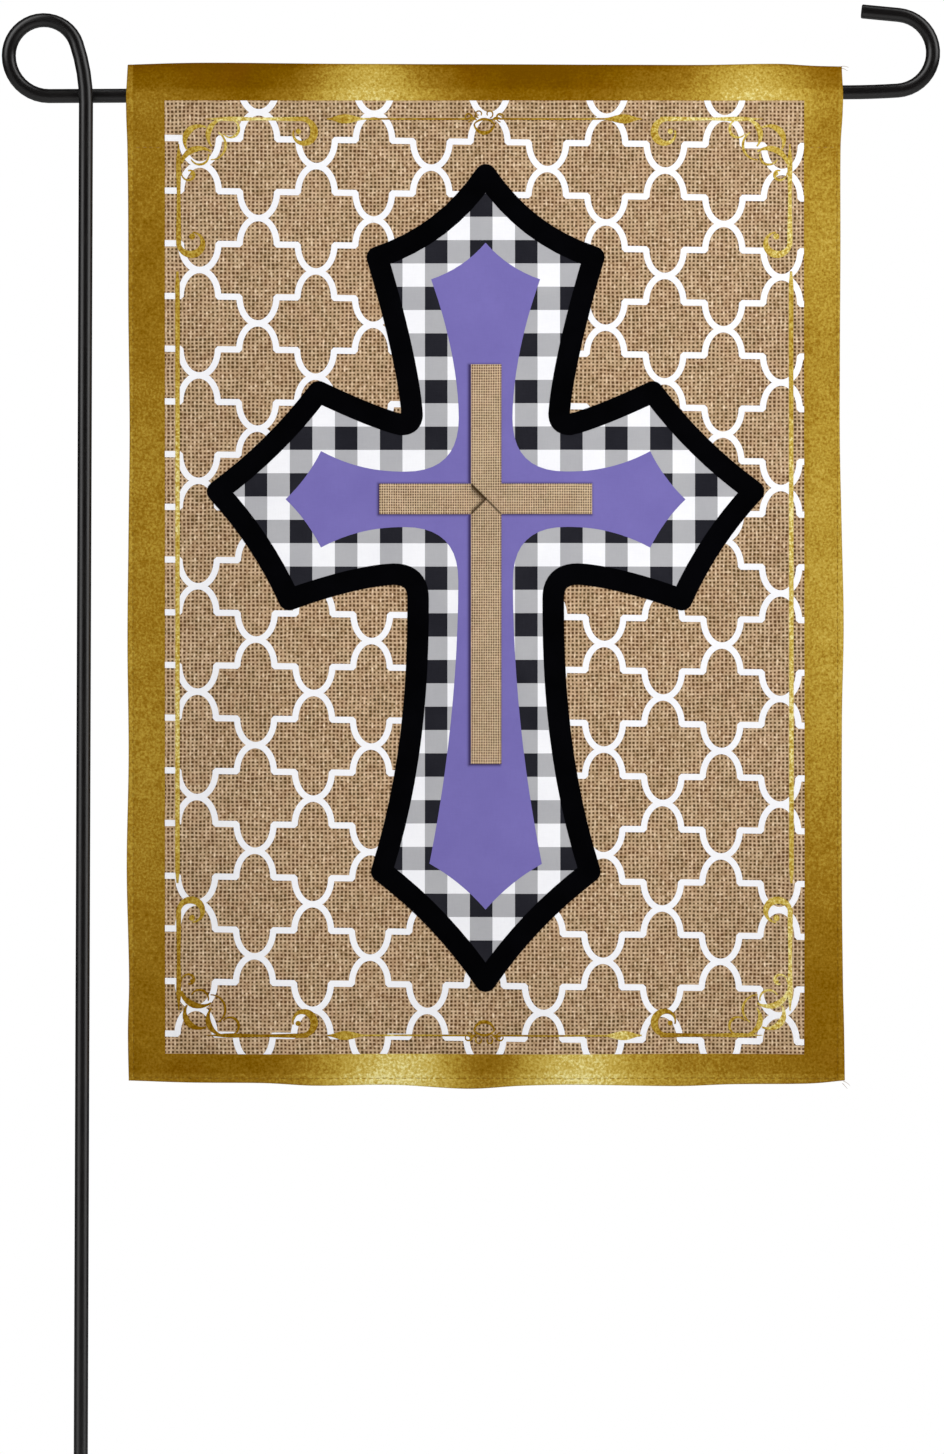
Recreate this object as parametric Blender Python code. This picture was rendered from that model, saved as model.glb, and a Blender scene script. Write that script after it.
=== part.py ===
"""Garden flag on a pole stand, in metres, +Z up.

A printed cloth hangs by its sleeve from the arm of a stand that is bent from one steel rod.
The flag's face looks towards -Y. The origin is the middle of the pole's foot.
"""

import bisect
import math
from collections import namedtuple

import bmesh
import bpy

# The stand's rod
ROD_DIAMETER = 0.00635
ROD_BEVEL_RESOLUTION = 6
END_CHAMFER = 0.0004
BEND_STEP = 9.0
BEND_LENGTH = 0.0060
CLEARANCE = 0.0003

# The rod as it is bent, from the foot up: a straight run, then a bend of this radius and turn.
# A turn is in degrees, and positive to the left as seen from the front.
Stretch = namedtuple("Stretch", "name run radius turn")
STAND = (
    Stretch("foot", 0.0300, 3.0000, -0.22),
    Stretch("pole", 0.8274, 0.0822, 18.80),
    Stretch("loop_top", 0.0, 0.0157, 161.40),
    Stretch("loop_foot", 0.0, 0.0179, 90.29),
    Stretch("arm", 0.3577, 0.3760, 3.43),
    Stretch("hook", 0.0, 0.0170, 170.80),
    Stretch("tip", 0.0168, 0.0, 0.0),
)
# The pole passes in front of the arm, so the rod moves back by this much round the loop.
ARM_SETBACK = ROD_DIAMETER + CLEARANCE
SETBACK_STARTS_AFTER = 0.0080

# The flag's cloth
FLAG_WIDTH = 0.3200
FLAG_HEIGHT = 0.4572
FLAG_LEFT = 0.0216
FLAG_TOP = 0.8869
CLOTH = 0.0012
HEM_WIDTH = 0.0050
HEM_RISE = 0.0005
HEM_EASE = 0.0012
SLEEVE_DROP = 0.0356
SLEEVE_FLAP = 0.0040
FOLD_LIP = 0.0018
FOLD_ROUNDING = 0.6
SETTLE_DROP = 0.0120
SHARP_ANGLE = 50.0
COLUMNS = 24
ROWS = 26
SLEEVE_ROWS_ABOVE_ROD = 4
SLEEVE_ROWS_BELOW_ROD = 5

# How far each cut edge lies outside its straight line, by place along it as a share of its length.
# Tension along the sleeve and the sewn edges leaves them a little uneven.
Edge = namedtuple("Edge", "at out")
LEFT_EDGE = (
    Edge(0.00, 0.0001), Edge(0.04, 0.0007), Edge(0.078, 0.0003), Edge(0.14, -0.0001),
    Edge(0.24, -0.0002), Edge(0.36, -0.0008), Edge(0.46, -0.0003), Edge(0.57, 0.0002),
    Edge(0.68, -0.0003), Edge(0.79, 0.0006), Edge(0.90, -0.0004), Edge(0.95, 0.0002),
    Edge(1.00, -0.0001),
)
RIGHT_EDGE = (
    Edge(0.00, -0.0001), Edge(0.04, 0.0003), Edge(0.078, -0.0006), Edge(0.18, -0.0007),
    Edge(0.28, -0.0010), Edge(0.37, -0.0011), Edge(0.46, -0.0003), Edge(0.55, 0.0005),
    Edge(0.64, -0.0003), Edge(0.80, -0.0004), Edge(0.90, 0.0001), Edge(0.95, 0.0007),
    Edge(1.00, 0.0011),
)
TOP_EDGE = (
    Edge(0.00, -0.0003), Edge(0.08, 0.0005), Edge(0.16, 0.0005), Edge(0.30, 0.0001),
    Edge(0.50, -0.0001), Edge(0.66, -0.0003), Edge(0.80, -0.0004), Edge(0.91, 0.0001),
    Edge(0.96, -0.0008), Edge(1.00, -0.0011),
)
BOTTOM_EDGE = (
    Edge(0.00, -0.0014), Edge(0.08, -0.0006), Edge(0.19, -0.0006), Edge(0.26, 0.0006),
    Edge(0.37, 0.0004), Edge(0.475, 0.0021), Edge(0.55, 0.0006), Edge(0.62, 0.0001),
    Edge(0.77, 0.0010), Edge(0.84, 0.0002), Edge(0.95, -0.0004), Edge(1.00, -0.0019),
)

# The soft flutes that hang from the sleeve: where each runs at the sleeve and at the bottom edge,
# its half width as shares of the flag's width, and how far back it lies at the bottom edge.
Flute = namedtuple("Flute", "above below half_width depth")
FLUTES_FULL_AT = 0.87
FLUTES = (
    Flute(0.06, 0.02, 0.13, 0.0042),
    Flute(0.24, 0.20, 0.12, -0.0030),
    Flute(0.42, 0.40, 0.12, 0.0024),
    Flute(0.58, 0.60, 0.13, -0.0034),
    Flute(0.77, 0.80, 0.12, 0.0030),
    Flute(0.95, 0.99, 0.12, -0.0046),
)
# How the whole cloth leans, by its drop below the top as a share of the flag's height:
# at its sides and in its middle. It bellies forward, and its foot turns back under.
Lean = namedtuple("Lean", "at sides middle")
LEANS = (
    Lean(0.078, 0.0, 0.0),
    Lean(0.30, -0.0010, -0.0016),
    Lean(0.55, -0.0022, -0.0048),
    Lean(0.78, -0.0026, -0.0072),
    Lean(0.90, -0.0014, -0.0048),
    Lean(1.00, 0.0016, 0.0006),
)


def clear_scene():
    for thing in list(bpy.data.objects):
        bpy.data.objects.remove(thing)


def smoothstep(value):
    value = min(1.0, max(0.0, value))
    return value * value * (3.0 - 2.0 * value)


def between(rows, at, column):
    """The column's value at a place, on a smooth curve through the table's rows."""
    places = [row.at for row in rows]
    values = [getattr(row, column) for row in rows]
    last = len(rows) - 1
    at = min(max(at, places[0]), places[last])
    i = min(bisect.bisect_right(places, at), last) - 1
    span = places[i + 1] - places[i]
    slopes = []
    for k in (i, i + 1):
        before, after = max(k - 1, 0), min(k + 1, last)
        slopes.append(span * (values[after] - values[before]) / (places[after] - places[before]))
    t = (at - places[i]) / span
    rise = t * t * (3.0 - 2.0 * t)
    bend = slopes[0] * t * (1.0 - t) ** 2 - slopes[1] * t * t * (1.0 - t)
    return values[i] + rise * (values[i + 1] - values[i]) + bend


def bend_steps(stretch):
    """How many straight pieces a bend is made of: each turns a little and is short."""
    if not stretch.turn:
        return 0
    by_turn = round(abs(stretch.turn) / BEND_STEP)
    by_length = round(stretch.radius * math.radians(abs(stretch.turn)) / BEND_LENGTH)
    return max(1, by_turn, by_length)


def bent_rod():
    """The middle line of the rod as (x, z, length so far), and the places where its stretches end."""
    x, z, heading, length = 0.0, 0.0, 90.0, 0.0
    line = [(x, z, length)]
    ends = {}
    for stretch in STAND:
        if stretch.run > 0.0:
            x += stretch.run * math.cos(math.radians(heading))
            z += stretch.run * math.sin(math.radians(heading))
            length += stretch.run
            line.append((x, z, length))
        ends[stretch.name + "_run"] = line[-1]
        steps = bend_steps(stretch)
        for _ in range(steps):
            half = math.radians(stretch.turn / steps / 2.0)
            chord = 2.0 * stretch.radius * math.sin(abs(half))
            heading_of_chord = math.radians(heading) + half
            x += chord * math.cos(heading_of_chord)
            z += chord * math.sin(heading_of_chord)
            heading += stretch.turn / steps
            length += stretch.radius * 2.0 * abs(half)
            line.append((x, z, length))
        ends[stretch.name] = line[-1]
    return line, ends


ROD_LINE, ROD_ENDS = bent_rod()


def setback(length):
    """How far behind the pole the rod lies, at a length along it."""
    start = ROD_ENDS["pole_run"][2] + SETBACK_STARTS_AFTER
    stop = ROD_ENDS["loop_foot"][2]
    return ARM_SETBACK * smoothstep((length - start) / (stop - start))


def arm_height(x):
    """The height of the arm's middle line above a place across the flag."""
    left, right = ROD_ENDS["loop_foot"], ROD_ENDS["arm_run"]
    return left[1] + (x - left[0]) * (right[1] - left[1]) / (right[0] - left[0])


def rod_points():
    """Points in space with the tube's radius share at each; the cut ends have a small chamfer."""
    points = [((x, setback(length), z), 1.0) for x, z, length in ROD_LINE]
    cut = 1.0 - 2.0 * END_CHAMFER / ROD_DIAMETER
    for end, inner in ((0, 1), (-1, -2)):
        (ex, ey, ez), (nx, ny, nz) = points[end][0], points[inner][0]
        share = END_CHAMFER / math.dist((ex, ey, ez), (nx, ny, nz))
        inside = (ex + share * (nx - ex), ey + share * (ny - ey), ez + share * (nz - ez))
        points[end] = ((ex, ey, ez), cut)
        points.insert(1 if end == 0 else len(points) - 1, (inside, 1.0))
    return points


def make_material(name, colour, roughness, metallic):
    material = bpy.data.materials.new(name)
    material.use_nodes = True
    shader = material.node_tree.nodes["Principled BSDF"]
    shader.inputs["Base Color"].default_value = (*colour, 1.0)
    shader.inputs["Roughness"].default_value = roughness
    shader.inputs["Metallic"].default_value = metallic
    return material


def make_stand_rod():
    curve = bpy.data.curves.new("stand_rod", "CURVE")
    curve.dimensions = "3D"
    curve.bevel_depth = ROD_DIAMETER / 2.0
    curve.bevel_resolution = ROD_BEVEL_RESOLUTION
    curve.use_fill_caps = True
    points = rod_points()
    spline = curve.splines.new("POLY")
    spline.points.add(len(points) - 1)
    spline.use_smooth = True
    for target, (place, share) in zip(spline.points, points):
        target.co = (*place, 1.0)
        target.radius = share
    curve.materials.append(make_material("black_coat", (0.018, 0.016, 0.015), 0.42, 0.0))
    stand = bpy.data.objects.new("stand_rod", curve)
    bpy.context.scene.collection.objects.link(stand)
    return stand


def edge_x(across, down):
    """The place from left to right of a point of the cloth, both shares of its width and height."""
    left = FLAG_LEFT - between(LEFT_EDGE, down, "out")
    right = FLAG_LEFT + FLAG_WIDTH + between(RIGHT_EDGE, down, "out")
    return left + across * (right - left)


def edge_z(across, down):
    """The height of a point of the cloth."""
    top = FLAG_TOP + between(TOP_EDGE, across, "out")
    bottom = FLAG_TOP - FLAG_HEIGHT - between(BOTTOM_EDGE, across, "out")
    return top + down * (bottom - top)


def flutes(across, down):
    """How far back the hanging flutes carry the cloth. They grow from nothing at the sleeve."""
    free = (down * FLAG_HEIGHT - SLEEVE_DROP) / (FLAG_HEIGHT - SLEEVE_DROP)
    total = 0.0
    for flute in FLUTES:
        middle = flute.above + (flute.below - flute.above) * down
        away = (across - middle) / flute.half_width
        if abs(away) < 1.0:
            total += flute.depth * (0.5 + 0.5 * math.cos(math.pi * away))
    return total * smoothstep(free / FLUTES_FULL_AT)


def lean(across, down):
    """How far back the whole cloth leans at a place."""
    sides = between(LEANS, down, "sides")
    middle = between(LEANS, down, "middle")
    return sides + (middle - sides) * math.sin(math.pi * across) ** 2


def sheet_depth(across, down):
    """The depth of the cloth's middle, under the arm at the sleeve."""
    return ARM_SETBACK + flutes(across, down) + lean(across, down)


def sleeve_half_gap(height, top, bottom):
    """Half the sleeve's inner width at a height over the arm's middle line.

    The cloth wraps the rod, then runs straight to the fold above and to the seam below.
    """
    around = ROD_DIAMETER / 2.0 + CLEARANCE
    for tip in (top, -bottom):
        leaves_at = around * around / tip
        if height * tip > 0 and abs(height) > abs(leaves_at):
            slope = around / math.sqrt(tip * tip - around * around)
            return max(0.0, (abs(tip) - abs(height)) * slope)
    return math.sqrt(around * around - height * height)


def column_places():
    """Places across the flag, as shares of its width, with a step in at each side hem."""
    inner = HEM_WIDTH + HEM_EASE
    places = [0.0, HEM_WIDTH, inner]
    step = (FLAG_WIDTH - 2.0 * inner) / COLUMNS
    places += [inner + step * i for i in range(1, COLUMNS)]
    places += [FLAG_WIDTH - inner, FLAG_WIDTH - HEM_WIDTH, FLAG_WIDTH]
    return [place / FLAG_WIDTH for place in places]


def row_places():
    """Drops below the seam, as shares of the flag's height: the flap's end, the sheet, the hem."""
    flap_end = SLEEVE_DROP + SLEEVE_FLAP
    first = flap_end + HEM_EASE
    last = FLAG_HEIGHT - HEM_WIDTH - HEM_EASE
    drops = [flap_end, first]
    drops += [first + (last - first) * i / ROWS for i in range(1, ROWS + 1)]
    drops += [FLAG_HEIGHT - HEM_WIDTH, FLAG_HEIGHT]
    return [drop / FLAG_HEIGHT for drop in drops]


def hem_at(across, down):
    """How much thicker the cloth is at its back, where the hem is turned over."""
    from_side = min(across, 1.0 - across) * FLAG_WIDTH
    from_bottom = (1.0 - down) * FLAG_HEIGHT
    nearest = min(from_side, from_bottom)
    return HEM_RISE * (1.0 - smoothstep((nearest - HEM_WIDTH) / HEM_EASE))


def sheet_column(across):
    """Front and back points of the single cloth below the seam, from the flap's end down."""
    pairs = []
    for row, down in enumerate(row_places()):
        x, z, y = edge_x(across, down), edge_z(across, down), sheet_depth(across, down)
        settled = smoothstep((down * FLAG_HEIGHT - SLEEVE_DROP) / SETTLE_DROP)
        front = y - CLOTH + 0.5 * CLOTH * settled
        thickness = 2.0 * CLOTH if row == 0 else CLOTH + hem_at(across, down)
        pairs.append(((x, front, z), (x, front + thickness, z)))
    return pairs


def sleeve_column(across):
    """Outer and inner points of the sleeve, from just under the top fold down to the seam."""
    seam = SLEEVE_DROP / FLAG_HEIGHT
    arm = arm_height(edge_x(across, seam / 2.0))
    top = edge_z(across, 0.0) - FOLD_LIP - arm
    bottom = arm - edge_z(across, seam)
    around = ROD_DIAMETER / 2.0 + CLEARANCE
    upper, lower = around * around / top, around * around / bottom
    above, below = SLEEVE_ROWS_ABOVE_ROD, SLEEVE_ROWS_BELOW_ROD
    heights = [top + (upper - top) * i / above for i in range(above)] + [upper, 0.0, -lower]
    heights += [-lower + (lower - bottom) * i / below for i in range(1, below + 1)]
    rows = []
    for height in heights:
        z = arm + height
        down = (edge_z(across, 0.0) - z) / FLAG_HEIGHT
        x, y = edge_x(across, down), sheet_depth(across, down)
        gap = sleeve_half_gap(height, top, bottom)
        outer = gap + CLOTH
        rows.append(tuple((x, y + away, z) for away in (-outer, -gap, gap, outer)))
    return rows


def top_fold(across):
    """The two points over the sleeve where the cloth turns from front to back."""
    x, z = edge_x(across, 0.0), edge_z(across, 0.0)
    y = sheet_depth(across, 0.0)
    return tuple((x, y + side * FOLD_ROUNDING * CLOTH, z) for side in (-1.0, 1.0))


def make_flag_cloth():
    """One solid: the cloth's front, its back and, between them, the open sleeve for the rod."""
    mesh = bmesh.new()
    outer_loops, inner_loops, columns = [], [], []
    for across in column_places():
        sheet = [(mesh.verts.new(f), mesh.verts.new(b)) for f, b in sheet_column(across)]
        rows = sleeve_column(across)
        last = len(rows) - 1
        sleeve = []
        for i, (front, front_in, back_in, back) in enumerate(rows):
            inside = mesh.verts.new(front_in)
            other = inside if i in (0, last) else mesh.verts.new(back_in)
            sleeve.append((mesh.verts.new(front), inside, other, mesh.verts.new(back)))
        fold = tuple(mesh.verts.new(place) for place in top_fold(across))
        front_line = [fold[0]] + [row[0] for row in sleeve] + [pair[0] for pair in sheet]
        back_line = [fold[1]] + [row[3] for row in sleeve] + [pair[1] for pair in sheet]
        outer_loops.append(front_line + back_line[::-1])
        inner_loops.append([row[1] for row in sleeve] + [row[2] for row in sleeve[-2:0:-1]])
        columns.append((sheet, sleeve, fold))
    for loops in (outer_loops, inner_loops):
        for one, other in zip(loops, loops[1:]):
            for i in range(len(one)):
                j = (i + 1) % len(one)
                mesh.faces.new((one[i], one[j], other[j], other[i]))
    for sheet, sleeve, fold in (columns[0], columns[-1]):
        close_side(mesh, sheet, sleeve, fold)
    bmesh.ops.recalc_face_normals(mesh, faces=mesh.faces)
    return finish_cloth(mesh)


def close_side(mesh, sheet, sleeve, fold):
    """The cut edge of the cloth at one side, which leaves the sleeve's mouth open."""
    first, last = sleeve[0], sleeve[-1]
    mesh.faces.new((fold[0], first[0], first[1], first[3], fold[1]))
    for upper, lower in zip(sleeve, sleeve[1:]):
        mesh.faces.new((upper[0], lower[0], lower[1], upper[1]))
        mesh.faces.new((upper[2], lower[2], lower[3], upper[3]))
    mesh.faces.new((last[0], sheet[0][0], sheet[0][1], last[3], last[1]))
    for upper, lower in zip(sheet, sheet[1:]):
        mesh.faces.new((upper[0], lower[0], lower[1], upper[1]))


def finish_cloth(mesh):
    data = bpy.data.meshes.new("flag_cloth")
    mesh.to_mesh(data)
    mesh.free()
    data.shade_smooth()
    data.set_sharp_from_angle(angle=math.radians(SHARP_ANGLE))
    data.materials.append(make_material("printed_cloth", (0.43, 0.30, 0.16), 0.8, 0.0))
    flag = bpy.data.objects.new("flag_cloth", data)
    bpy.context.scene.collection.objects.link(flag)
    return flag


clear_scene()
make_stand_rod()
make_flag_cloth()
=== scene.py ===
# %% [markdown]
# # A garden flag on its pole stand
# A printed cloth hangs by its sleeve from the arm of a stand that is bent from one steel rod.
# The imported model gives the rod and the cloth's hanging shape. This script keeps the rod, lays a
# finer cloth on the same folds, and prints it layer by layer. Everything is in metres, with +Z up,
# and the printed face looks towards -Y.

# %% The frame that everything rides on
import math
import random
from collections import namedtuple

import bpy
import numpy as np
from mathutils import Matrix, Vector
from mathutils.geometry import delaunay_2d_cdt


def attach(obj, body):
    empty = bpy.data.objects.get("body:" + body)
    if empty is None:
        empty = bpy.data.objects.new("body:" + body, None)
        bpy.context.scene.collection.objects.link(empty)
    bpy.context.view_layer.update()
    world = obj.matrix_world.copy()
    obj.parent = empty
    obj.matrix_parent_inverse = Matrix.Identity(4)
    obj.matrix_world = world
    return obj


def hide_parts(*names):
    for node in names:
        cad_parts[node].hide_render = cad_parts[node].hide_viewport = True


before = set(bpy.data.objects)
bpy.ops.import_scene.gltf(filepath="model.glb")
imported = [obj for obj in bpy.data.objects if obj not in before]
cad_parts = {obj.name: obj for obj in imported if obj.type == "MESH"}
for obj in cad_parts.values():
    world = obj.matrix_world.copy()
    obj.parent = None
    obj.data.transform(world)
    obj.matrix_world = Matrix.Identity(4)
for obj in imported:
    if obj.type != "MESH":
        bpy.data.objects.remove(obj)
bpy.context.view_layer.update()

# %% [markdown]
# ## The cloth's hanging shape
# A flag hangs almost flat, so it could be one plane with a picture. Real cloth never is: its cut
# edges waver by a millimetre, soft flutes hang from the sleeve, and its foot turns back under.
# These are the sizes and tables of the solid, so the fine cloth lies where the solid is.

# %% Sizes of the cloth and of the rod in its sleeve
FLAG_WIDTH = 0.3200
FLAG_HEIGHT = 0.4572
FLAG_LEFT = 0.0216
FLAG_TOP = 0.8869
SLEEVE_DROP = 0.0356
SLEEVE_FLAP = 0.0040
FOLD_LIP = 0.0018
SETTLE_DROP = 0.0120
ROD_DIAMETER = 0.00635
CLEARANCE = 0.0003
ARM_SETBACK = ROD_DIAMETER + CLEARANCE
# The two ends of the arm's straight run, as x and z.
ARM_LEFT_END = (-0.01433, 0.87252)
ARM_RIGHT_END = (0.34406, 0.87420)
print("flag, mm:", round(FLAG_WIDTH * 1000, 1), "by", round(FLAG_HEIGHT * 1000, 1))

# %% How far each cut edge strays from its straight line
# A place is a share of the edge's length, and out is the distance beyond the straight line.
Edge = namedtuple("Edge", "at out")
LEFT_EDGE = (
    Edge(0.00, 0.0001), Edge(0.04, 0.0007), Edge(0.078, 0.0003), Edge(0.14, -0.0001),
    Edge(0.24, -0.0002), Edge(0.36, -0.0008), Edge(0.46, -0.0003), Edge(0.57, 0.0002),
    Edge(0.68, -0.0003), Edge(0.79, 0.0006), Edge(0.90, -0.0004), Edge(0.95, 0.0002),
    Edge(1.00, -0.0001),
)
RIGHT_EDGE = (
    Edge(0.00, -0.0001), Edge(0.04, 0.0003), Edge(0.078, -0.0006), Edge(0.18, -0.0007),
    Edge(0.28, -0.0010), Edge(0.37, -0.0011), Edge(0.46, -0.0003), Edge(0.55, 0.0005),
    Edge(0.64, -0.0003), Edge(0.80, -0.0004), Edge(0.90, 0.0001), Edge(0.95, 0.0007),
    Edge(1.00, 0.0011),
)
TOP_EDGE = (
    Edge(0.00, -0.0003), Edge(0.08, 0.0005), Edge(0.16, 0.0005), Edge(0.30, 0.0001),
    Edge(0.50, -0.0001), Edge(0.66, -0.0003), Edge(0.80, -0.0004), Edge(0.91, 0.0001),
    Edge(0.96, -0.0008), Edge(1.00, -0.0011),
)
BOTTOM_EDGE = (
    Edge(0.00, -0.0014), Edge(0.08, -0.0006), Edge(0.19, -0.0006), Edge(0.26, 0.0006),
    Edge(0.37, 0.0004), Edge(0.475, 0.0021), Edge(0.55, 0.0006), Edge(0.62, 0.0001),
    Edge(0.77, 0.0010), Edge(0.84, 0.0002), Edge(0.95, -0.0004), Edge(1.00, -0.0019),
)
edges = LEFT_EDGE + RIGHT_EDGE + TOP_EDGE + BOTTOM_EDGE
print("edges stray by up to, mm:", round(max(abs(row.out) for row in edges) * 1000, 1))

# %% Flutes and lean
# A flute's places at the sleeve and at the foot and its half width are shares of the flag's
# width. Its depth is how far back it lies once it is full, at this share of the free height.
Flute = namedtuple("Flute", "above below half_width depth")
FLUTES_FULL_AT = 0.87
FLUTES = (
    Flute(0.06, 0.02, 0.13, 0.0042),
    Flute(0.24, 0.20, 0.12, -0.0030),
    Flute(0.42, 0.40, 0.12, 0.0024),
    Flute(0.58, 0.60, 0.13, -0.0034),
    Flute(0.77, 0.80, 0.12, 0.0030),
    Flute(0.95, 0.99, 0.12, -0.0046),
)
# How far back the whole cloth leans, at its sides and in its middle, by the share of its height.
Lean = namedtuple("Lean", "at sides middle")
LEANS = (
    Lean(0.078, 0.0, 0.0),
    Lean(0.30, -0.0010, -0.0016),
    Lean(0.55, -0.0022, -0.0048),
    Lean(0.78, -0.0026, -0.0072),
    Lean(0.90, -0.0014, -0.0048),
    Lean(1.00, 0.0016, 0.0006),
)
print("flutes:", len(FLUTES), "rows of the lean:", len(LEANS))


# %% From a place on the flat cloth to its depth as it hangs
def smoothstep(value):
    value = np.clip(value, 0.0, 1.0)
    return value * value * (3.0 - 2.0 * value)


def between(rows, at, column):
    """The column's value at each place, on a smooth curve through the table's rows."""
    places = np.array([row.at for row in rows])
    values = np.array([getattr(row, column) for row in rows])
    order = np.arange(len(rows))
    before, after = np.maximum(order - 1, 0), np.minimum(order + 1, len(rows) - 1)
    slopes = (values[after] - values[before]) / (places[after] - places[before])
    at = np.clip(at, places[0], places[-1])
    i = np.clip(np.searchsorted(places, at, side="right") - 1, 0, len(rows) - 2)
    span = places[i + 1] - places[i]
    t = (at - places[i]) / span
    rise = t * t * (3.0 - 2.0 * t) * (values[i + 1] - values[i])
    bend = span * (slopes[i] * t * (1.0 - t) ** 2 - slopes[i + 1] * t * t * (1.0 - t))
    return values[i] + rise + bend


def edge_x(across, down):
    left = FLAG_LEFT - between(LEFT_EDGE, down, "out")
    right = FLAG_LEFT + FLAG_WIDTH + between(RIGHT_EDGE, down, "out")
    return left + across * (right - left)


def edge_z(across, down):
    top = FLAG_TOP + between(TOP_EDGE, across, "out")
    bottom = FLAG_TOP - FLAG_HEIGHT - between(BOTTOM_EDGE, across, "out")
    return top + down * (bottom - top)


def flutes(across, down):
    """How far back the hanging flutes carry the cloth. They grow from nothing at the sleeve."""
    free = (down * FLAG_HEIGHT - SLEEVE_DROP) / (FLAG_HEIGHT - SLEEVE_DROP)
    total = 0.0
    for flute in FLUTES:
        middle = flute.above + (flute.below - flute.above) * down
        away = np.clip((across - middle) / flute.half_width, -1.0, 1.0)
        total = total + flute.depth * (0.5 + 0.5 * np.cos(math.pi * away))
    return total * smoothstep(free / FLUTES_FULL_AT)


def lean(across, down):
    sides = between(LEANS, down, "sides")
    middle = between(LEANS, down, "middle")
    return sides + (middle - sides) * np.sin(math.pi * across) ** 2


print("depth in the middle of the foot, mm:", round(float(flutes(0.5, 1.0) + lean(0.5, 1.0)) * 1000, 2))

# %% [markdown]
# ## Small relief: ripples, creases and sewn edges
# Under the large folds a hung cloth keeps smaller marks: slow ripples where it was printed and
# rolled, a few creases from its packing, and hems that pucker where the thread pulls. They are
# only a tenth or two of a millimetre deep. A bump in a material could show them, but as real shape
# they also carry the print.

# %% Sizes of the sheet and of its sewn edges
# The sheet's thickness, the gap where two layers meet, and half the gap inside the top fold.
SHEET = 0.0006
SEAM_GAP = 0.00005
FOLD_INNER = 0.0003
# The hem: its width, its second layer, how softly that layer ends, and where it is sewn.
HEM_WIDTH = 0.0050
HEM_RISE = 0.0005
HEM_EASE = 0.0012
HEM_STITCH = 0.0023
FOOT_STITCH = 0.0026
# The relief of a sewn edge: a puffed fold, a dip at the stitches, and puckers that wander.
HEM_PUFF = 0.00014
STITCH_DIP = 0.00016
STITCH_DIP_REACH = 0.0006
PUCKER = 0.00010
PUCKER_WAVE = 0.0085
PUCKER_WANDER, PUCKER_WANDER_RATE = 1.7, 61.0
PUCKER_FADE = 0.004
PUCKER_SHIFT = 0.003
# The relief of the sleeve's seam.
SEAM_DIP = 0.00009
SEAM_PUCKER = 0.00005
SEAM_REACH = 0.0026
SEAM_WAVE = 0.0110
SEAM_WANDER, SEAM_WANDER_RATE = 2.2, 47.0
print("sheet, mm:", SHEET * 1000, "hem, mm:", HEM_WIDTH * 1000)

# %% Ripples and creases
Ripple = namedtuple("Ripple", "wave heading phase depth")
RIPPLES = (
    Ripple(0.062, 12.0, 0.3, 0.00022),
    Ripple(0.041, 74.0, 1.9, 0.00010),
    Ripple(0.033, -31.0, 4.1, 0.00007),
    Ripple(0.024, 47.0, 2.6, 0.00004),
)
# A crease runs between two places, as distances from the cloth's left and top edges.
Crease = namedtuple("Crease", "from_left from_top to_left to_top half_width depth")
CREASES = (
    Crease(0.1560, 0.0900, 0.1675, 0.1120, 0.0030, 0.00020),
    Crease(0.1480, 0.1010, 0.1600, 0.0980, 0.0028, -0.00014),
    Crease(0.0790, 0.1840, 0.0980, 0.2010, 0.0036, 0.00016),
    Crease(0.2480, 0.0560, 0.2640, 0.0500, 0.0036, 0.00014),
    Crease(0.0520, 0.3900, 0.0900, 0.4060, 0.0060, -0.00022),
    Crease(0.2350, 0.3960, 0.2750, 0.3820, 0.0060, 0.00022),
    Crease(0.1300, 0.4180, 0.1800, 0.4230, 0.0080, 0.00026),
)
# A crease fades out beyond its ends, over these shares of its length.
CREASE_BEYOND, CREASE_EASE = 0.4, 0.6


def ripples(left, top):
    total = 0.0
    for ripple in RIPPLES:
        turn = math.radians(ripple.heading)
        along = left * math.cos(turn) + top * math.sin(turn)
        total = total + ripple.depth * np.sin(2.0 * math.pi * along / ripple.wave + ripple.phase)
    return total


def creases(left, top):
    total = 0.0
    for crease in CREASES:
        run = np.array((crease.to_left - crease.from_left, crease.to_top - crease.from_top))
        length = float(np.hypot(*run))
        ux, uy = run / length
        along = (left - crease.from_left) * ux + (top - crease.from_top) * uy
        aside = (left - crease.from_left) * uy - (top - crease.from_top) * ux
        ease = CREASE_EASE * length
        ends = smoothstep((along + CREASE_BEYOND * length) / ease)
        ends = ends * smoothstep(((1.0 + CREASE_BEYOND) * length - along) / ease)
        total = total + crease.depth * ends * np.exp(-((aside / crease.half_width) ** 2))
    return total


print("ripples:", len(RIPPLES), "creases:", len(CREASES))


# %% Relief of the sewn edges, and everything small together
def sewn_edge(away, stitch_at, along):
    """Relief across a sewn edge: a puffed fold, a dip at the stitches, and a pucker past them."""
    puff = -HEM_PUFF * np.sin(math.pi * np.clip(away / stitch_at, 0.0, 1.0))
    dip = STITCH_DIP * np.exp(-(((away - stitch_at) / STITCH_DIP_REACH) ** 2))
    wander = PUCKER_WANDER * np.sin(along * PUCKER_WANDER_RATE)
    wave = np.sin(2.0 * math.pi * along / PUCKER_WAVE + wander)
    fades = np.exp(-np.clip(away - stitch_at, 0.0, None) / PUCKER_FADE) * smoothstep(away / stitch_at)
    return puff + dip + PUCKER * wave * fades


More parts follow.
